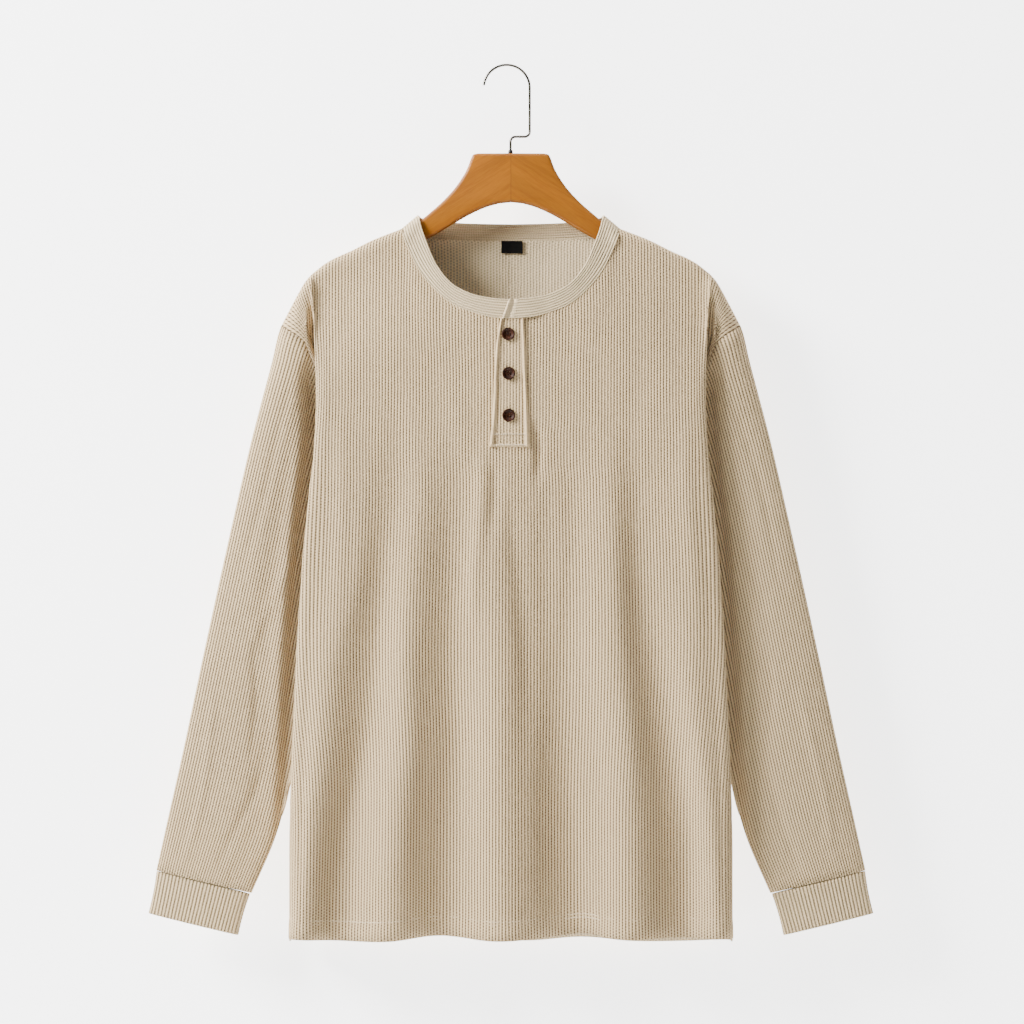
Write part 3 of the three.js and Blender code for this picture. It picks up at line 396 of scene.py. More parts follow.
def cloth_object(name, grid, out, ribs, stitches, around=False):
    """A mesh made from a grid, laid on the given points, with its cloth coordinates as UVs."""
    rows, columns = grid.shape[:2]
    bm = bmesh.new()
    bmesh.ops.create_grid(bm, x_segments=columns - 1, y_segments=rows - 1, size=0.5)
    mesh = to_mesh(bm, name)
    flat = np.empty(len(mesh.vertices) * 3)
    mesh.vertices.foreach_get("co", flat)
    flat = flat.reshape(-1, 3)
    column = np.rint((flat[:, 0] + 0.5) * (columns - 1)).astype(int)
    row = np.rint((0.5 - flat[:, 1]) * (rows - 1)).astype(int)
    points = grid[row, column] * MM + (CENTRE_X * MM, 0, 0)
    mesh.vertices.foreach_set("co", points.ravel())
    corners = np.empty(len(mesh.loops), np.int32)
    mesh.loops.foreach_get("vertex_index", corners)
    uv = np.stack([ribs[row, column], stitches[row, column]], 1)[corners]
    mesh.uv_layers.new(name="cloth").data.foreach_set("uv", uv.ravel())
    mesh.update()
    normals = np.empty(len(mesh.polygons) * 3)
    mesh.polygons.foreach_get("normal", normals)
    starts = np.empty(len(mesh.polygons), np.int32)
    mesh.polygons.foreach_get("loop_start", starts)
    wanted = out[row, column][corners[starts]]
    inside_out = (normals.reshape(-1, 3) * wanted).sum() < 0
    bm = bmesh.new()
    bm.from_mesh(mesh)
    if inside_out:
        bmesh.ops.reverse_faces(bm, faces=bm.faces)
    if around:
        bmesh.ops.remove_doubles(bm, verts=bm.verts, dist=2e-5)
    bm.to_mesh(mesh)
    bm.free()
    mesh.polygons.foreach_set("use_smooth", np.ones(len(mesh.polygons), bool))
    return show(name, mesh)


def show(name, data):
    piece = bpy.data.objects.new(name, data)
    bpy.context.scene.collection.objects.link(piece)
    return piece


def to_mesh(bm, name, smooth_shading=False):
    """A new mesh from a bmesh, which is freed."""
    mesh = bpy.data.meshes.new(name)
    bm.to_mesh(mesh)
    bm.free()
    if smooth_shading:
        mesh.polygons.foreach_set("use_smooth", np.ones(len(mesh.polygons), bool))
    return mesh


def thicken(piece, thickness):
    solidify = piece.modifiers.new("cloth wall", "SOLIDIFY")
    solidify.thickness = thickness * MM
    solidify.offset = -1


def finish_piece(piece, slot, look, *nodes):
    """Puts a finished piece on the frame in place of its plain solid, if it stands for one."""
    piece.data.materials.clear()
    piece.data.materials.append(material(look))
    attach(piece, "root")
    if nodes:
        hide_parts(*nodes)


def cut_faces(piece, inside):
    """Deletes the faces whose middle a test says is inside a slot."""
    bm = bmesh.new()
    bm.from_mesh(piece.data)
    doomed = [f for f in bm.faces if inside(f.calc_center_median() / MM - Vector((CENTRE_X, 0, 0)))]
    bmesh.ops.delete(bm, geom=doomed, context="FACES")
    bm.to_mesh(piece.data)
    bm.free()


def sleeve_grid(hand, columns, rows):
    """A sleeve's ring points, walked from its outer edge over its front, down to the cuff seam."""
    steps = np.linspace(0, 20, columns + 1)
    turn = steps / 20 * 2 * math.pi
    width = (1 - np.cos(turn)) / 2
    wave = np.sin(turn)
    seam = np.array([armhole_point(-1 if s <= 10 else 1, s if s <= 10 else 20 - s) for s in steps])
    away = np.stack([0.45 + 0 * width, -0.5 * np.sign(seam[:, 1]) * ease(width * 2), -0.35 + 0 * width], 1)
    seam = seam + away * (SEAM_GAP + HALF_GAP)

    def ring(share):
        outer_z = mix(-260, -805.6, share)
        inner_z = mix(UNDERARM, -828.4, share)
        outer = read_at(OUTLINE, "across", outer_z)
        inner = read_at(SLEEVE_INNER, "across", inner_z)
        half = mix(13, 9.5, ease(share * 2))
        z = mix(outer_z, inner_z, width)
        depth = -half * np.sign(wave) * np.abs(wave) ** TUBE_SHAPE
        away = (width - read_at(SLEEVE_VALLEY, "share", z)) / 0.12
        valley = read_at(SLEEVE_VALLEY, "depth", z) * np.exp(-away * away)
        depth = depth + np.where(wave > 0.01, valley * np.clip(wave * 3, 0, 1), 0)
        return np.stack([mix(outer, inner, width), depth, z], 1)

    start = ring(0.0)
    grid = []
    for share in np.linspace(0, 1, rows + 1):
        fade = (1 - min(share / 0.3, 1)) ** 2
        grid.append(ring(share) + (seam - start) * fade)
    grid = np.array(grid)
    beside = (grid[:, :, 0] - read_at(SIDE_FOLD, "ridge", grid[:, :, 2]) - 5) / 8
    sunk = 1.5 * np.clip(-grid[:, :, 1], 0, 11) * np.exp(-np.clip(beside, 0, None) ** 2)
    grid[:, :, 1] += sunk * ease((-282 - grid[:, :, 2]) / 50)
    return grid * (hand, 1, 1)


def resample(grid, count):
    """Each row of a closed grid at even steps round it."""
    rows = []
    for line in grid:
        arc = np.concatenate([[0], np.cumsum(np.linalg.norm(np.diff(line, axis=0), axis=1))])
        even = np.linspace(0, arc[-1], count + 1)
        rows.append(np.stack([np.interp(even, arc, line[:, i]) for i in range(3)], 1))
    return np.array(rows)


def linear(red, green, blue):
    """A colour given as 0-255 display values, as the linear RGBA that a socket takes."""
    values = np.array([red, green, blue]) / 255
    values = np.where(values <= 0.04045, values / 12.92, ((values + 0.055) / 1.055) ** 2.4)
    return (*[float(v) for v in values], 1.0)


def add(tree, kind, inputs=(), **settings):
    """A node with its settings, and its inputs joined to a socket or set to a value."""
    item = tree.nodes.new(kind)
    for name, value in settings.items():
        setattr(item, name, value)
    for key, value in dict(inputs).items():
        if isinstance(value, bpy.types.NodeSocket):
            tree.links.new(value, item.inputs[key])
        else:
            item.inputs[key].default_value = value
    return item


def maths(tree, operation, *values):
    return add(tree, "ShaderNodeMath", enumerate(values), operation=operation).outputs[0]


def blend(tree, share, first, second):
    inputs = {0: share, 6: first, 7: second}
    return add(tree, "ShaderNodeMix", inputs, data_type="RGBA").outputs[2]


def noise(tree, coords, scale, detail=3.0):
    inputs = {"Vector": coords, "Scale": scale, "Detail": detail, "Roughness": 0.55}
    return add(tree, "ShaderNodeTexNoise", inputs).outputs["Fac"]


def remap(tree, value, low, high, to_low=0.0, to_high=1.0):
    inputs = {0: value, 1: low, 2: high, 3: to_low, 4: to_high}
    return add(tree, "ShaderNodeMapRange", inputs, interpolation_type="SMOOTHSTEP").outputs[0]


def stretch(tree, coords, x, y, z):
    inputs = {"Vector": coords, "Scale": (x, y, z)}
    return add(tree, "ShaderNodeMapping", inputs).outputs[0]


def new_group(name, inputs, outputs):
    """A node group with its sockets, and the nodes that bring them in and out."""
    tree = bpy.data.node_groups.new(name, "ShaderNodeTree")
    for socket, kind, value in inputs:
        item = tree.interface.new_socket(socket, in_out="INPUT", socket_type="NodeSocket" + kind)
        item.default_value = value
    for socket, kind in outputs:
        tree.interface.new_socket(socket, in_out="OUTPUT", socket_type="NodeSocket" + kind)
    return tree, tree.nodes.new("NodeGroupInput").outputs, tree.nodes.new("NodeGroupOutput").inputs


def knit_group():
    """Waffle knit: light ribs with staggered pits between them, darkened with painted shade, in the cloth's
    own coordinates.
    """
    tree, given, out = new_group(
        "Waffle knit",
        [("Yarn", "Color", linear(214, 203, 186)), ("Hollow shade colour", "Color", linear(120, 103, 82)),
         ("Hollow shade", "Float", 0.6), ("Dashes", "Float", 0.6), ("Relief", "Float", 0.6)],
        [("Color", "Color"), ("Normal", "Vector")])
    place = add(tree, "ShaderNodeTexCoord").outputs["Object"]
    uv = add(tree, "ShaderNodeUVMap", uv_map="cloth").outputs["UV"]
    axes = add(tree, "ShaderNodeSeparateXYZ", {0: uv}).outputs
    uneven = maths(tree, "SUBTRACT", noise(tree, place, 90.0), 0.5)
    u = maths(tree, "MULTIPLY_ADD", uneven, 0.22, axes[0])
    v = maths(tree, "MULTIPLY_ADD", uneven, 0.9, axes[1])
    crown = maths(tree, "ABSOLUTE", maths(tree, "COSINE", maths(tree, "MULTIPLY", u, math.pi)))
    # Painted shade: the valleys between ribs, broken into staggered dashes, are darkened towards the shade
    # colour.
    valley = remap(tree, crown, 0.9, 0.25)
    stagger = maths(tree, "MULTIPLY", maths(tree, "FLOOR", u), 0.5)
    turn = maths(tree, "MULTIPLY", maths(tree, "ADD", v, stagger), 2 * math.pi)
    dash = maths(tree, "MULTIPLY_ADD", maths(tree, "COSINE", turn), 0.5, 0.5)
    kept = maths(tree, "SUBTRACT", 1.0, given["Dashes"])
    hollow_shade = maths(tree, "MULTIPLY", valley, maths(tree, "MULTIPLY_ADD", dash, given["Dashes"], kept))
    hollow_shade_share = maths(tree, "MULTIPLY", hollow_shade, given["Hollow shade"])
    patchy = remap(tree, noise(tree, stretch(tree, place, 1, 1, 0.35), 14.0), 0.3, 0.7, 0.955, 1.03)
    fuzz = noise(tree, place, 1500.0, 2.0)
    # Painted light and shade: the yarn is darkened near the pits and lightened between them along the
    # dashes; the fuzz noise is random tone.
    lit = maths(tree, "MULTIPLY_ADD", dash, -0.16, 1.08)
    fuzz_and_dash_shade = maths(tree, "MULTIPLY", remap(tree, fuzz, 0.25, 0.75, 0.92, 1.06), lit)
    yarn = maths(tree, "MULTIPLY", fuzz_and_dash_shade, patchy)
    tinted = add(tree, "ShaderNodeVectorMath", {0: given["Yarn"], "Scale": yarn}, operation="SCALE")
    colour = blend(tree, hollow_shade_share, tinted.outputs[0], given["Hollow shade colour"])
    tree.links.new(colour, out["Color"])
    height = maths(tree, "SUBTRACT", maths(tree, "MULTIPLY", fuzz, 0.35), hollow_shade)
    raised = add(tree, "ShaderNodeBump",
                 {"Strength": given["Relief"], "Distance": 0.0008, "Height": height})
    tree.links.new(raised.outputs[0], out["Normal"])


def wood_group():
    """Grain that runs along each arm of the hanger, and the joint between its halves."""
    tree, given, out = new_group(
        "Wood grain",
        [("Early", "Color", linear(144, 86, 0)), ("Late", "Color", linear(124, 68, 0)),
         ("Joint", "Float", CENTRE_X * MM)],
        [("Color", "Color"), ("Roughness", "Float"), ("Normal", "Vector")])
    place = add(tree, "ShaderNodeTexCoord").outputs["Object"]
    axes = add(tree, "ShaderNodeSeparateXYZ", {0: place}).outputs
    side = maths(tree, "SUBTRACT", axes[0], given["Joint"])
    far = maths(tree, "ABSOLUTE", side)
    level = maths(tree, "MULTIPLY_ADD", far, 0.62, axes[2])
    half = maths(tree, "MULTIPLY", maths(tree, "SIGN", side), 0.4)
    grain_at = add(tree, "ShaderNodeCombineXYZ", {0: maths(tree, "MULTIPLY", far, 0.12), 1: half, 2: level})
    waver = maths(tree, "MULTIPLY", noise(tree, grain_at.outputs[0], 55.0, 2.0), 30.0)
    rings = maths(tree, "MULTIPLY_ADD", level, 500.0, waver)
    line = maths(tree, "MULTIPLY_ADD", maths(tree, "SINE", rings), 0.5, 0.5)
    fine = noise(tree, grain_at.outputs[0], 900.0, 4.0)
    mixed = maths(tree, "MULTIPLY_ADD", fine, 0.82, maths(tree, "MULTIPLY", line, 0.18))
    grain = blend(tree, remap(tree, mixed, 0.15, 0.85), given["Early"], given["Late"])
    broad = remap(tree, noise(tree, grain_at.outputs[0], 24.0, 2.0), 0.3, 0.7, 0.82, 1.12)
    toned = add(tree, "ShaderNodeVectorMath", {0: grain, "Scale": broad}, operation="SCALE").outputs[0]
    seam = remap(tree, far, 0.0, 0.0005, 0.75, 0.0)
    tree.links.new(blend(tree, seam, toned, linear(88, 46, 18)), out["Color"])
    tree.links.new(remap(tree, fine, 0.2, 0.8, 0.42, 0.6), out["Roughness"])
    raised = add(tree, "ShaderNodeBump", {"Strength": 0.25, "Distance": 0.0002, "Height": mixed})
    tree.links.new(raised.outputs[0], out["Normal"])


def place_group(tree, name, inputs=()):
    return add(tree, "ShaderNodeGroup", inputs, node_tree=bpy.data.node_groups[name])


def new_material(name, **surface):
    """A new material's tree and its Principled node, with the given values set."""
    material = bpy.data.materials.new(name + LOOK)
    material.use_nodes = True
    shader = material.node_tree.nodes["Principled BSDF"]
    for socket, value in surface.items():
        shader.inputs[socket.replace("_", " ")].default_value = value
    return material.node_tree, shader


def knit_material(name, yarn, hollow_shade_colour, hollow_shade, dashes, relief=1.0):
    """A cloth: its yarn colour and the painted shade colour of its pits, how strong that painted shade is,
    how broken up, and their relief.
    """
    tree, shader = new_material(
        name, Roughness=0.95, Sheen_Weight=0.02, Sheen_Roughness=0.6, Specular_IOR_Level=0.12)
    inputs = {"Yarn": yarn, "Hollow shade colour": hollow_shade_colour, "Hollow shade": hollow_shade, "Dashes": dashes, "Relief": relief}
    join_group(tree, shader, place_group(tree, "Waffle knit", inputs))


def join_group(tree, shader, placed):
    """Joins a placed group's outputs to the Principled inputs of the same sense."""
    for output in placed.outputs:
        wanted = "Base Color" if output.name == "Color" else output.name
        tree.links.new(output, shader.inputs[wanted])


def make_materials():
    """All materials, once."""
    knit_group()
    wood_group()
    # In each cloth below, the second colour is painted shade that darkens the knit's pits and valleys.
    yarn, hollow_shade_colour = linear(205, 179, 138), linear(60, 40, 20)
    knit_material("waffle_front", yarn, hollow_shade_colour, 1.0, 0.62)
    # Painted light: the back's yarn is lighter and its pit shade weaker than the front's, to lift the
    # shaded inside of the neck.
    knit_material("waffle_back", linear(218, 196, 157), hollow_shade_colour, 0.42, 0.5)
    knit_material("waffle_sleeve", yarn, hollow_shade_colour, 0.86, 0.45)
    knit_material("placket_cloth", yarn, hollow_shade_colour, 0.8, 0.6)
    knit_material("rib_cuff", linear(201, 178, 139), linear(84, 62, 36), 0.55, 0.2)
    knit_material("rib_neck", linear(211, 190, 152), linear(98, 76, 48), 0.42, 0.2)
    # Painted highlight: the thread is lighter than the yarn so that rows of stitching show as bright lines.
    knit_material("thread", linear(222, 204, 172), linear(140, 114, 82), 0.2, 0.1, 0.6)
    knit_material("label_dark", linear(8, 7, 5), linear(2, 2, 1), 0.5, 0.6, 0.6)
    tree, shader = new_material("button_brown", Roughness=0.5, Specular_IOR_Level=0.12)
    place = add(tree, "ShaderNodeTexCoord").outputs["Object"]
    swirl = remap(tree, noise(tree, place, 260.0, 3.0), 0.35, 0.7)
    tree.links.new(blend(tree, swirl, linear(50, 23, 9), linear(25, 10, 4)), shader.inputs["Base Color"])
    tree, shader = new_material(
        "hanger_wood", Coat_Weight=0.08, Coat_Roughness=0.3, Specular_IOR_Level=0.25)
    join_group(tree, shader, place_group(tree, "Wood grain"))
    tree, shader = new_material("hook_wire", Metallic=1.0, Base_Color=linear(92, 88, 82))
    place = add(tree, "ShaderNodeTexCoord").outputs["Object"]
    worn = remap(tree, noise(tree, stretch(tree, place, 1, 1, 0.2), 700.0), 0.3, 0.7, 0.2, 0.34)
    tree.links.new(worn, shader.inputs["Roughness"])
    tree, shader = new_material("ferrule_dark", Metallic=0.6, Base_Color=linear(28, 27, 26))
    place = add(tree, "ShaderNodeTexCoord").outputs["Object"]
    tree.links.new(remap(tree, noise(tree, place, 900.0), 0.3, 0.7, 0.3, 0.5), shader.inputs["Roughness"])


def material(name):
    return bpy.data.materials[name + LOOK]


def lay_ribs(grid, out, ribs, rise):
    """Raises the ribs of a knit on a grid, their crowns level with it."""
    return grid + out * (rib(ribs, rise) - rise)[..., None]


def build_panel(name, side, neck, hem, props):
    """A front or back panel with its ribs and the shallow line of its hem, and its grid."""
    grid, ribs = panel(side, neck, hem, 24, 46, RIB_PITCH / 4)
    out = facing(grid, side)
    above = grid[:, :, 2] - hem
    hem_line = bump(above, 16.5, 2.2) - 0.5 * ease((15 - above) / 3)
    laid = lay_ribs(grid, out, ribs, props.rib_rise / MM) - out * (1.1 * hem_line)[..., None]
    piece = cloth_object(name, laid, out, ribs, -grid[:, :, 2] / STITCH_PITCH)
    return piece, grid, out


def stitch_row(name, points, out, pitch, slot):
    """A line of sewing: short stitches laid end to end along points on the cloth."""
    arc = np.concatenate([[0], np.cumsum(np.linalg.norm(np.diff(points, axis=0), axis=1))])
    starts = np.arange(pitch / 2, arc[-1], pitch)
    at = np.stack([np.interp(starts, arc, points[:, i]) for i in range(3)], 1)
    face = np.stack([np.interp(starts, arc, out[:, i]) for i in range(3)], 1)
    ahead = np.stack([np.interp(starts + 0.8, arc, points[:, i]) for i in range(3)], 1)
    bm = bmesh.new()
    for middle, up, on in zip(at, face, ahead):
        along = Vector(on - middle).normalized()
        up = Vector(up).normalized()
        wide = up.cross(along).normalized()
        turn = Matrix((along, wide, up)).transposed().to_4x4()
        size = Matrix.Diagonal((pitch * 0.42 * MM, 0.42 * MM, 0.3 * MM, 1))
        spot = Matrix.Translation(Vector(middle * MM) + Vector((CENTRE_X * MM, 0, 0)) + up * 0.1 * MM)
        bmesh.ops.create_icosphere(bm, subdivisions=2, radius=1, matrix=spot @ turn @ size)
    # The thread look is lighter than the yarn, a painted highlight on the stitching.
    finish_piece(show(name, to_mesh(bm, name, True)), slot, "thread")


def band_line():
    """The neckband's stations: seam, free edge, outward direction and the lift of its upper end."""
    count = BAND_STATIONS
    low = [neck_line(rows, "seam", count) for rows in (NECK_FRONT, NECK_BACK)]
    high = [neck_line(rows, "edge", count) for rows in (NECK_FRONT, NECK_BACK)]
    low, high = np.vstack([low[0], low[1][1:]]), np.vstack([high[0], high[1][1:]])
    front = np.arange(len(low)) < count
    fade = (1 - ease(low[:, :1] / 26)) * front[:, None]
    over_low = low - fade * (9, 0, 0)
    over_high = high - fade * (2.5, 0, 0)
    past = np.where(front, low[:, 0], 99)
    lift = 2.7 * (1 - ease((past - 12) / 26)) + 1.9 * bump(past, 1.7, 1.5) - 1.3 * bump(past, 5.4, 1.5)
    lift[0] -= 1.6
    under = np.linspace(0, 9, 8)[1:, None] * (1, 0, 0)
    flip = (-1, 1, 1)
    lows = np.vstack([over_low, low[-2::-1] * flip, low[0] + under])
    highs = np.vstack([over_high, high[-2::-1] * flip, high[0] + under])
    lift = np.concatenate([lift, np.zeros(len(lows) - len(lift))])
    along = np.gradient(lows + highs, axis=0)
    out = np.cross(along, highs - lows)
    return lows, highs, out / np.linalg.norm(out, axis=1, keepdims=True), lift


def oval(outer, inner, half, count):
    """A flattened ring from the outer edge over the front, at even steps."""
    turn = np.linspace(0, 2 * math.pi, 721)
    width = (1 - np.cos(turn)) / 2
    depth = -half * np.sign(np.sin(turn)) * np.abs(np.sin(turn)) ** TUBE_SHAPE
    ring = np.stack([mix(outer[0], inner[0], width), depth, mix(outer[1], inner[1], width)], 1)
    return resample(ring[None], count)[0]


def lathe(name, profile, segments, middle, axis="Y"):
    """A turned shape: a profile of radius and height spun about Y, or about Z."""
    profile = np.array(profile, float)
    turn = np.linspace(0, 2 * math.pi, segments + 1)
    radius, height = profile[:, :1], profile[:, 1:]
    x, y, z = radius * np.cos(turn), height + 0 * turn, radius * np.sin(turn)
    grid = np.stack([x, y, z] if axis == "Y" else [x, -z, y], 2) + middle
    away = grid - grid.reshape(-1, 3).mean(0)
    zero = np.zeros(grid.shape[:2])
    return cloth_object(name, grid, away, zero, zero, around=True)


class HenleySizes(bpy.types.PropertyGroup):
    """Sizes that the pieces share."""

    cloth_wall: bpy.props.FloatProperty(
        name="Cloth wall", description="Thickness of the waffle jersey", default=0.0013, unit="LENGTH",
        subtype="DISTANCE")
    rib_wall: bpy.props.FloatProperty(
        name="Trim wall", description="Thickness of the ribbed trims", default=0.0016, unit="LENGTH",
        subtype="DISTANCE")
    rib_rise: bpy.props.FloatProperty(
        name="Rib rise", description="Height of a waffle rib over its valley", default=0.00045,
        unit="LENGTH", subtype="DISTANCE")
    trim_rise: bpy.props.FloatProperty(
        name="Trim rise", description="Height of a rib on the cuffs and neckband", default=0.0007,
        unit="LENGTH", subtype="DISTANCE")
    hanger_thick: bpy.props.FloatProperty(
        name="Hanger thickness", description="Front to back of the wood", default=0.012, unit="LENGTH",
        subtype="DISTANCE")
    wire: bpy.props.FloatProperty(
        name="Wire radius", description="Half the thickness of the hook's wire", default=0.0013,
        unit="LENGTH", subtype="DISTANCE")


class HENLEY_OT_front(bpy.types.Operator):
    """Builds the front with its hem stitching"""

    bl_idname = "henley.front"
    bl_label = "Front"

    def execute(self, context):
        props = context.scene.henley
        piece, grid, out = build_panel("front_cloth", -1, NECK_FRONT, HEM_FRONT, props)
        cut_faces(piece, lambda at: abs(at.x) < SLOT_HALF and at.z > SLOT_BOTTOM)
        thicken(piece, props.cloth_wall / MM)
        finish_piece(piece, "waffle_front", "waffle_front", "front")
        hem_stitches("front_hem_stitch", grid, out, HEM_FRONT)
        return {"FINISHED"}


class HENLEY_OT_back(bpy.types.Operator):
    """Builds the back with its hem stitching"""

    bl_idname = "henley.back"
    bl_label = "Back"

    def execute(self, context):
        props = context.scene.henley
        piece, grid, out = build_panel("back_cloth", 1, NECK_BACK, HEM_BACK, props)
        thicken(piece, props.cloth_wall / MM)
        finish_piece(piece, "waffle_back", "waffle_back", "back")
        hem_stitches("back_hem_stitch", grid, out, HEM_BACK)
        return {"FINISHED"}


def hem_stitches(name, grid, out, hem):
    """Two rows of sewing along a panel, at their heights above its hem."""
    middle = grid.shape[1] // 2
    for number, height in enumerate(HEM_STITCHES):
        row = np.abs(grid[:, middle, 2] - hem - height).argmin()
        points, face = grid[row].copy(), out[row]
        points[:, 2] += height + hem - points[middle, 2]
        stitch_row(f"{name}_{number}", points - 0.5 * face, face, STITCH_PITCH, "waffle_front")


class HENLEY_OT_sleeves(bpy.types.Operator):
    """Builds both sleeves as closed tubes"""

    bl_idname = "henley.sleeves"
    bl_label = "Sleeves"

    def execute(self, context):
        props = context.scene.henley
        for side, hand in (("left", -1), ("right", 1)):
            count, samples = 80, 4
            grid = resample(sleeve_grid(hand, 200, 60), count * samples)
            ribs = np.broadcast_to(np.arange(count * samples + 1) / samples, grid.shape[:2])
            out = facing(grid, hand, around=True)
            push = sleeve_creases(grid.shape, hand)
            laid = lay_ribs(grid + out * push[..., None], out, ribs, props.rib_rise / MM)
            piece = cloth_object(f"sleeve_cloth_{side}", laid, out, ribs, -grid[:, :, 2] / STITCH_PITCH,
                                 around=True)
            thicken(piece, props.cloth_wall / MM)
            finish_piece(piece, "waffle_sleeve", "waffle_sleeve", f"sleeve_{side}")
        return {"FINISHED"}


def sleeve_creases(shape, hand):
    """The sleeve's soft creases, over its share of a turn and of its length."""
    turn = np.linspace(0, 1, shape[1])[None]
    along = np.linspace(0, 1, shape[0])[:, None]
    push = np.zeros(shape[:2])
    for top_t, top_a, low_t, low_a, width, depth in zip(*SLEEVE_CREASES.values()):
        share = (along - top_a) / (low_a - top_a)
        middle = mix(top_t, low_t, share) + 0.012 * hand * np.sin(6 * share + 9 * top_t)
        fade = ease(share / 0.3) * ease((1.15 - share) / 0.45)
        push += depth * fade * np.exp(-(((turn - middle) / width) ** 2))
    return push


class HENLEY_OT_cuffs(bpy.types.Operator):
    """Builds both ribbed cuffs"""

    bl_idname = "henley.cuffs"
    bl_label = "Cuffs"

    def execute(self, context):
        props = context.scene.henley
        count, samples, rows = 56, 8, 16
        top = oval((354.4, -806.6), (262, -829.2), 8.6, count * samples)
        low = oval((362.6, -848.8), (273.7, -870.5), 8, count * samples)
        for side, hand in (("left", -1), ("right", 1)):
            share = np.linspace(0, 1, rows)[:, None, None]
            grid = mix(top, low, share) * (hand, 1, 1)
            ribs = np.broadcast_to(np.arange(count * samples + 1) / samples, grid.shape[:2])
            out = facing(grid, hand, around=True)
            waist = 0.8 * np.sin(math.pi * share[:, :, 0])
            laid = lay_ribs(grid + out * (0.6 - waist)[..., None], out, ribs, props.trim_rise / MM)
            piece = cloth_object(f"cuff_cloth_{side}", laid, out, ribs, -grid[:, :, 2] / STITCH_PITCH,
                                 around=True)
            thicken(piece, props.rib_wall / MM)
            finish_piece(piece, "rib_cuff", "rib_cuff", f"cuff_{side}")
        return {"FINISHED"}


class HENLEY_OT_neckband(bpy.types.Operator):
    """Builds the ribbed neckband, its right end over its left one"""

    bl_idname = "henley.neckband"
    bl_label = "Neckband"

    def execute(self, context):
        props = context.scene.henley
        lows, highs, out, lift = band_line()
        count, samples = 7, 4
        share = np.linspace(0, 1, count * samples + 1)[:, None, None]
        up = highs - lows
        seam = lows - up / np.linalg.norm(up, axis=1, keepdims=True) * BAND_LAP
        grid = mix(seam, highs, share) + out * lift[:, None]
        ribs = np.broadcast_to(np.arange(count * samples + 1)[:, None] / samples, grid.shape[:2])
        inside = ease((lows[:, 0] - 2.2) / 2.5) + (np.arange(len(lows)) >= BAND_STATIONS)
        ribs = mix(np.rint(ribs), ribs, np.clip(inside, 0, 1))
        outs = np.broadcast_to(out, grid.shape)
        laid = lay_ribs(grid, outs, ribs, props.trim_rise / MM) + outs * 0.6
        arc = np.concatenate([[0], np.cumsum(np.linalg.norm(np.diff(lows, axis=0), axis=1))])
        piece = cloth_object("neckband_rib", laid, outs, ribs, np.broadcast_to(arc / 2.6, ribs.shape))
        thicken(piece, props.rib_wall / MM)
        finish_piece(piece, "rib_neck", "rib_neck", "neckband")
        return {"FINISHED"}


class HENLEY_OT_placket(bpy.types.Operator):
    """Builds the placket's two strips and its box stitching"""

    bl_idname = "henley.placket"
    bl_label = "Placket"

    def execute(self, context):
        props = context.scene.henley
        z = np.linspace(-252.4, -382, 122)[:, None]
        share = np.linspace(0, 1, 121)[None]
        left, right = read_at(PLACKET_EDGE, "left", z), read_at(PLACKET_EDGE, "right", z)
        x = mix(left, right, share)
        rolled = 1.9 * bump(share, 0.055, 0.045) - 0.8 * bump(share, 0.155, 0.03)
        ridge = 1.2 * bump(share, 0.94, 0.024) - 0.5 * bump(share, 0.87, 0.03)
        box = sum(size * bump(z, line, 0.9) for line, size in (
            (-367.2, 0.5), (-368.8, -0.8), (-378, 0.5), (-379.8, -0.8)))
        soft = 0.35 * np.sin(z / 19 + 3 * share) * np.sin(math.pi * share)
        ends = 1.4 * (share < 0.004) + 1.6 * (share > 0.996) + 1.2 * ease((-380.4 - z) / 1.6)
        rise = rolled + ridge - box + soft - ends
        grid = np.stack([x, -BODY_DEPTH - SEAM_GAP - STRIP_WALL - rise, z + 0 * x], 2)
        inside = ease((share - 0.09) / 0.03) * ease((0.9 - share) / 0.03) * ease((z + 380) / 1.5)
        ribs = mix(np.rint((x - 1.2) / RIB_PITCH), (x - 1.2) / RIB_PITCH, inside)
        outs = np.broadcast_to((0, -1.0, 0), grid.shape)
        piece = cloth_object("placket_upper", lay_ribs(grid, outs, ribs, 0.25), outs, ribs,
                             -grid[:, :, 2] / STITCH_PITCH)
        thicken(piece, 1.3)
        finish_piece(piece, "placket_cloth", "placket_cloth", "placket_over")
        for number, height in enumerate(BOX_STITCHES):
            row = np.abs(z[:, 0] - height).argmin()
            stitch_row(f"placket_stitch_{number}", grid[row, 8:-8], outs[row, 8:-8], 2.2, "placket_cloth")
        half = SLOT_HALF - SEAM_GAP
        x, z = np.meshgrid(np.linspace(-half, half, 39), np.linspace(-254, -363, 60))
        grid = np.stack([x, -BODY_DEPTH + 0 * x, z], 2)
        outs = np.broadcast_to((0, -1.0, 0), grid.shape)
        piece = cloth_object("placket_lower", grid, outs, x / RIB_PITCH, -z / STITCH_PITCH)
        thicken(piece, props.cloth_wall / MM)
        finish_piece(piece, "placket_cloth", "placket_cloth", "placket_under")
        return {"FINISHED"}


class HENLEY_OT_label(bpy.types.Operator):
    """Builds the bare label inside the neck"""

    bl_idname = "henley.label"
    bl_label = "Label"

    def execute(self, context):
        x, z = np.meshgrid(np.linspace(-9.7, 11.8, 30), np.linspace(-174.3, -186.6, 16))
        below = SEAM_HEIGHT - z
        shift = SEAM_DEPTH - face_depth(1, 0 * x, SEAM_HEIGHT)
        y = face_depth(1, x, z) + shift * (1 - ease(below / NECK_RUN)) - 2.5 - 0.5 * ease((below - 6) / 8)
        grid = np.stack([x, y, z], 2)
        outs = np.broadcast_to((0, -1.0, 0), grid.shape)
        piece = cloth_object("label_cloth", grid, outs, x / 0.9, -z / 0.9)
        thicken(piece, 0.5)
        finish_piece(piece, "label_dark", "label_dark", "neck_label")
        return {"FINISHED"}


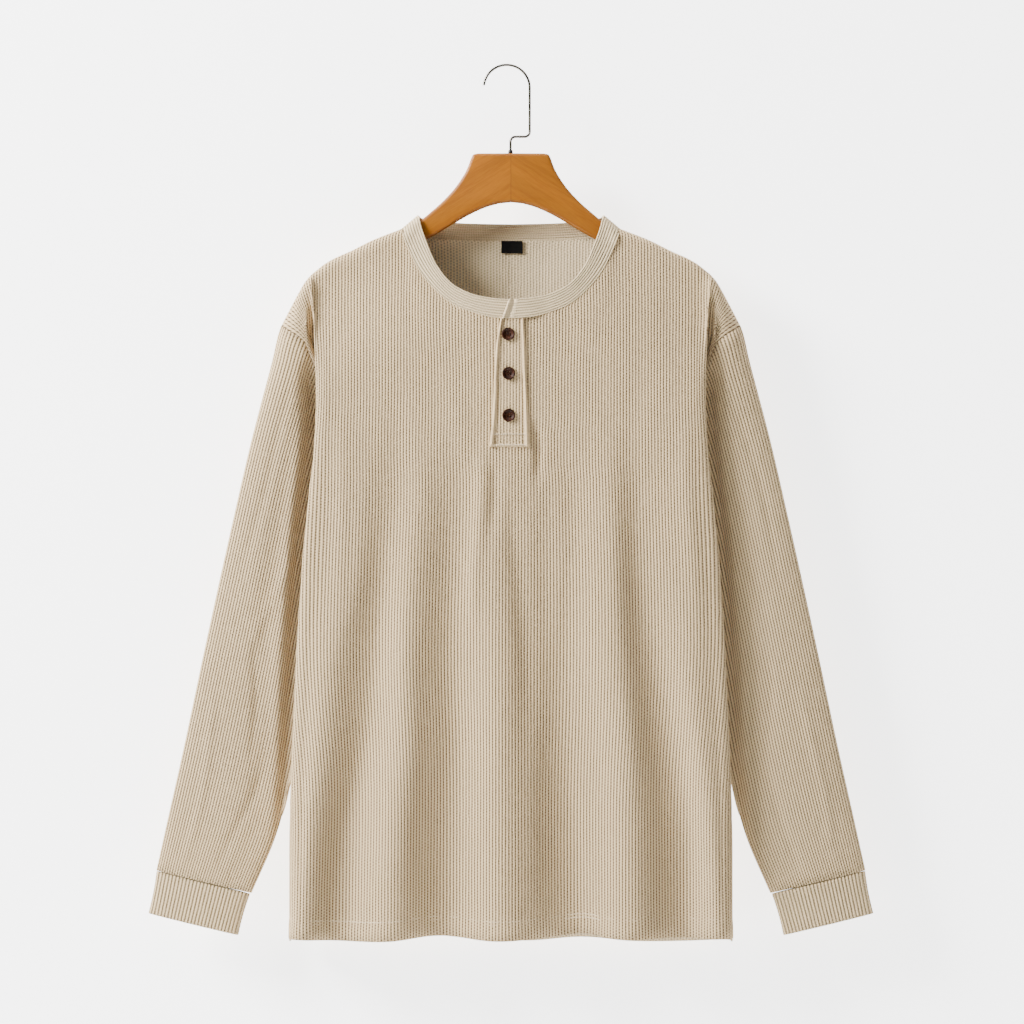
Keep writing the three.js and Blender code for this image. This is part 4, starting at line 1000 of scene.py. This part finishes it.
class HENLEY_OT_buttons(bpy.types.Operator):
    """Turns the buttons, drills them and threads them"""

    bl_idname = "henley.buttons"
    bl_label = "Buttons"

    def execute(self, context):
        profile = [(0, 0), (5.6, 0), (6.3, 0.5), (6.5, 1.1), (6.4, 1.9), (6.0, 2.5), (5.5, 2.6), (5.0, 2.3),
                   (4.6, 1.4), (0, 1.2)]
        seat = -BODY_DEPTH - STRIP_WALL - 2 * SEAM_GAP
        for name, x, z in (("top", -2.7, -269.3), ("middle", -2.2, -308.5), ("bottom", -2.2, -350.3)):
            piece = lathe(f"button_{name}_turned", [(r, -h) for r, h in profile], 48, (x, seat, z))
            for across in (-1.5, 1.5):
                for up in (-1.5, 1.5):
                    drill(piece, x + across, z + up, 0.75)
            finish_piece(piece, "button_brown", "button_brown", f"button_{name}")
            for hand, across in (("left", -1.5), ("right", 1.5)):
                thread(f"button_{name}_thread_{hand}", x + across, seat - 1.5, z)
        return {"FINISHED"}


def drill(piece, x, z, radius):
    """Bores a round hole through a piece, front to back."""
    bm = bmesh.new()
    middle = Vector((x + CENTRE_X, -31, z)) * MM
    turn = Matrix.Translation(middle) @ Matrix.Rotation(math.pi / 2, 4, "X")
    bmesh.ops.create_cone(bm, cap_ends=True, segments=16, radius1=radius * MM, radius2=radius * MM,
                          depth=20 * MM, matrix=turn)
    tool = show("bore", to_mesh(bm, "bore"))
    cut = piece.modifiers.new("hole", "BOOLEAN")
    cut.operation = "DIFFERENCE"
    cut.object = tool
    seen = piece.evaluated_get(bpy.context.evaluated_depsgraph_get())
    mesh = bpy.data.meshes.new_from_object(seen)
    piece.modifiers.clear()
    piece.data = mesh
    bpy.data.objects.remove(tool)


def thread(name, x, y, z):
    """A strand of thread between two holes, one over the other."""
    bm = bmesh.new()
    place = Matrix.Translation(Vector((x + CENTRE_X, y, z)) * MM)
    size = Matrix.Diagonal((0.42 * MM, 0.4 * MM, 1.7 * MM, 1))
    bmesh.ops.create_icosphere(bm, subdivisions=3, radius=1, matrix=place @ size)
    finish_piece(show(name, to_mesh(bm, name)), "button_brown", "button_brown")


class HENLEY_OT_hanger(bpy.types.Operator):
    """Cuts the wooden hanger from its outline and rounds it"""

    bl_idname = "henley.hanger"
    bl_label = "Hanger"

    def execute(self, context):
        thick = context.scene.henley.hanger_thick / MM
        half = np.stack([HANGER_OUTLINE["across"], HANGER_OUTLINE["height"]], 1)
        line = np.vstack([half[:1], curve(half[2:-1], 150), half[-1:]])
        line = np.vstack([line, line[-2:0:-1] * (-1, 1)])
        bm = bmesh.new()
        bmesh.ops.create_circle(bm, cap_ends=True, segments=len(line), radius=1)
        bm.faces.ensure_lookup_table()
        ring = list(bm.faces[0].verts)
        for vert, (x, z) in zip(ring, line):
            vert.co = ((x + CENTRE_X) * MM, thick / 2 * MM, z * MM)
        grown = bmesh.ops.extrude_face_region(bm, geom=bm.faces[:])["geom"]
        moved = [item for item in grown if isinstance(item, bmesh.types.BMVert)]
        bmesh.ops.translate(bm, verts=moved, vec=(0, -thick * MM, 0))
        bmesh.ops.recalc_face_normals(bm, faces=bm.faces)
        piece = show("hanger_board", to_mesh(bm, "hanger_board", True))
        soft = piece.modifiers.new("rounding", "BEVEL")
        soft.width = 4.2 * MM
        soft.segments = 5
        soft.limit_method = "ANGLE"
        soft.angle_limit = math.radians(60)
        finish_piece(piece, "hanger_wood", "hanger_wood", "hanger")
        return {"FINISHED"}


class HENLEY_OT_hook(bpy.types.Operator):
    """Bends the hook's wire and adds the ferrule at its foot"""

    bl_idname = "henley.hook"
    bl_label = "Hook"

    def execute(self, context):
        radius, middle, drop, stem, foot, bend = 23, -21.8, -70.8, 3.8, -98, 5
        turn = np.linspace(math.pi * 0.965, 0, 60)
        arc = np.stack([radius * np.cos(turn), middle + radius * np.sin(turn)], 1)
        corner = np.linspace(0, math.pi / 2, 9)
        first = np.stack([radius - bend + bend * np.cos(corner), drop + bend - bend * np.sin(corner)], 1)
        second = np.stack([stem + bend - bend * np.sin(corner), drop - bend + bend * np.cos(corner)], 1)
        path = np.vstack([arc, first, second, [(stem, foot)]])
        curved = bpy.data.curves.new("hook_path", "CURVE")
        curved.dimensions = "3D"
        curved.bevel_depth = context.scene.henley.wire
        curved.bevel_resolution = 4
        curved.use_fill_caps = True
        line = curved.splines.new("POLY")
        line.points.add(len(path) - 1)
        for point, (x, z) in zip(line.points, path):
            point.co = (x * MM, 0, z * MM, 1)
        bent = show("hook_path", curved)
        mesh = bpy.data.meshes.new_from_object(bent.evaluated_get(context.evaluated_depsgraph_get()))
        bpy.data.objects.remove(bent)
        mesh.polygons.foreach_set("use_smooth", np.ones(len(mesh.polygons), bool))
        finish_piece(show("hook_bent", mesh), "hook_wire", "hook_wire", "hanger_hook")
        profile = [(1.5, 0), (2.4, 0), (2.4, 0.6), (2.2, 2.7), (1.9, 3), (1.5, 3), (1.5, 0)]
        piece = lathe("ferrule_turned", profile, 32, (stem - CENTRE_X, 0, -87.2), axis="Z")
        finish_piece(piece, "ferrule_dark", "ferrule_dark", "hook_ferrule")
        return {"FINISHED"}


class HENLEY_OT_stage(bpy.types.Operator):
    """Sets the wall, floor, lights and camera"""

    bl_idname = "henley.stage"
    bl_label = "Stage"

    def execute(self, context):
        walls = (
            ("wall", (0, 0.046, 0.3), math.pi / 2, 3.0, 3.2), ("floor", (0, -1.2, -1.9), 0.0, 3.0, 0.0))
        for name, at, turn, size, glow in walls:
            tree, shader = new_material(
                name, Base_Color=(0.87, 0.87, 0.87, 1), Roughness=0.9, Emission_Color=(1, 1, 1, 1),
                Emission_Strength=glow)
            away = add(tree, "ShaderNodeNewGeometry").outputs["Backfacing"]
            clear = add(tree, "ShaderNodeBsdfTransparent").outputs[0]
            seen = add(tree, "ShaderNodeMixShader", {0: away, 1: shader.outputs[0], 2: clear})
            tree.links.new(seen.outputs[0], tree.nodes["Material Output"].inputs["Surface"])
            bm = bmesh.new()
            matrix = Matrix.Translation(at) @ Matrix.Rotation(turn, 4, "X")
            bmesh.ops.create_grid(bm, x_segments=1, y_segments=1, size=size, matrix=matrix)
            mesh = to_mesh(bm, name)
            mesh.materials.append(material(name))
            show(name, mesh)
        lights = (
            ("key", (-2.8, -1.45, 1.35), 1.3, 500.0), ("fill", (0.3, -2.7, 1.2), 1.2, 7.0),
            ("top", (0.1, -1.2, 2.0), 1.0, 30.0))
        for name, at, size, power in lights:
            lamp = bpy.data.lights.new(name, "AREA")
            lamp.size = size
            lamp.energy = power
            light = show(name, lamp)
            light.location = at
            light.rotation_euler = (Vector((0, 0, -0.45)) - Vector(at)).to_track_quat("-Z", "Y").to_euler()
        world = bpy.data.worlds.new("studio")
        world.use_nodes = True
        world.node_tree.nodes["Background"].inputs["Color"].default_value = (1, 1, 1, 1)
        world.node_tree.nodes["Background"].inputs["Strength"].default_value = 0.08
        context.scene.world = world
        camera = bpy.data.cameras.new("camera")
        camera.lens = 200
        camera.sensor_width = 36
        eye = show("camera", camera)
        eye.location = (0.0053, -5.7, -0.4468)
        eye.rotation_euler = (math.pi / 2, 0, 0)
        context.scene.camera = eye
        return {"FINISHED"}


class HENLEY_PT_panel(bpy.types.Panel):
    """Sizes and one button for each piece"""

    bl_label = "Henley"
    bl_idname = "HENLEY_PT_panel"
    bl_space_type = "VIEW_3D"
    bl_region_type = "UI"
    bl_category = "Henley"

    def draw(self, context):
        for name in HenleySizes.__annotations__:
            self.layout.prop(context.scene.henley, name)
        for step in STEPS:
            self.layout.operator(step.bl_idname)


STEPS = (
    HENLEY_OT_front, HENLEY_OT_back, HENLEY_OT_sleeves, HENLEY_OT_cuffs, HENLEY_OT_neckband,
    HENLEY_OT_placket, HENLEY_OT_label, HENLEY_OT_buttons, HENLEY_OT_hanger, HENLEY_OT_hook,
    HENLEY_OT_stage)
CLASSES = (HenleySizes, *STEPS, HENLEY_PT_panel)


def register():
    for item in CLASSES:
        bpy.utils.register_class(item)
    bpy.types.Scene.henley = bpy.props.PointerProperty(type=HenleySizes)


def unregister():
    del bpy.types.Scene.henley
    for item in reversed(CLASSES):
        bpy.utils.unregister_class(item)


def main():
    register()
    make_materials()
    for step in STEPS:
        group, name = step.bl_idname.split(".")
        getattr(getattr(bpy.ops, group), name)()


if __name__ == "__main__":
    main()
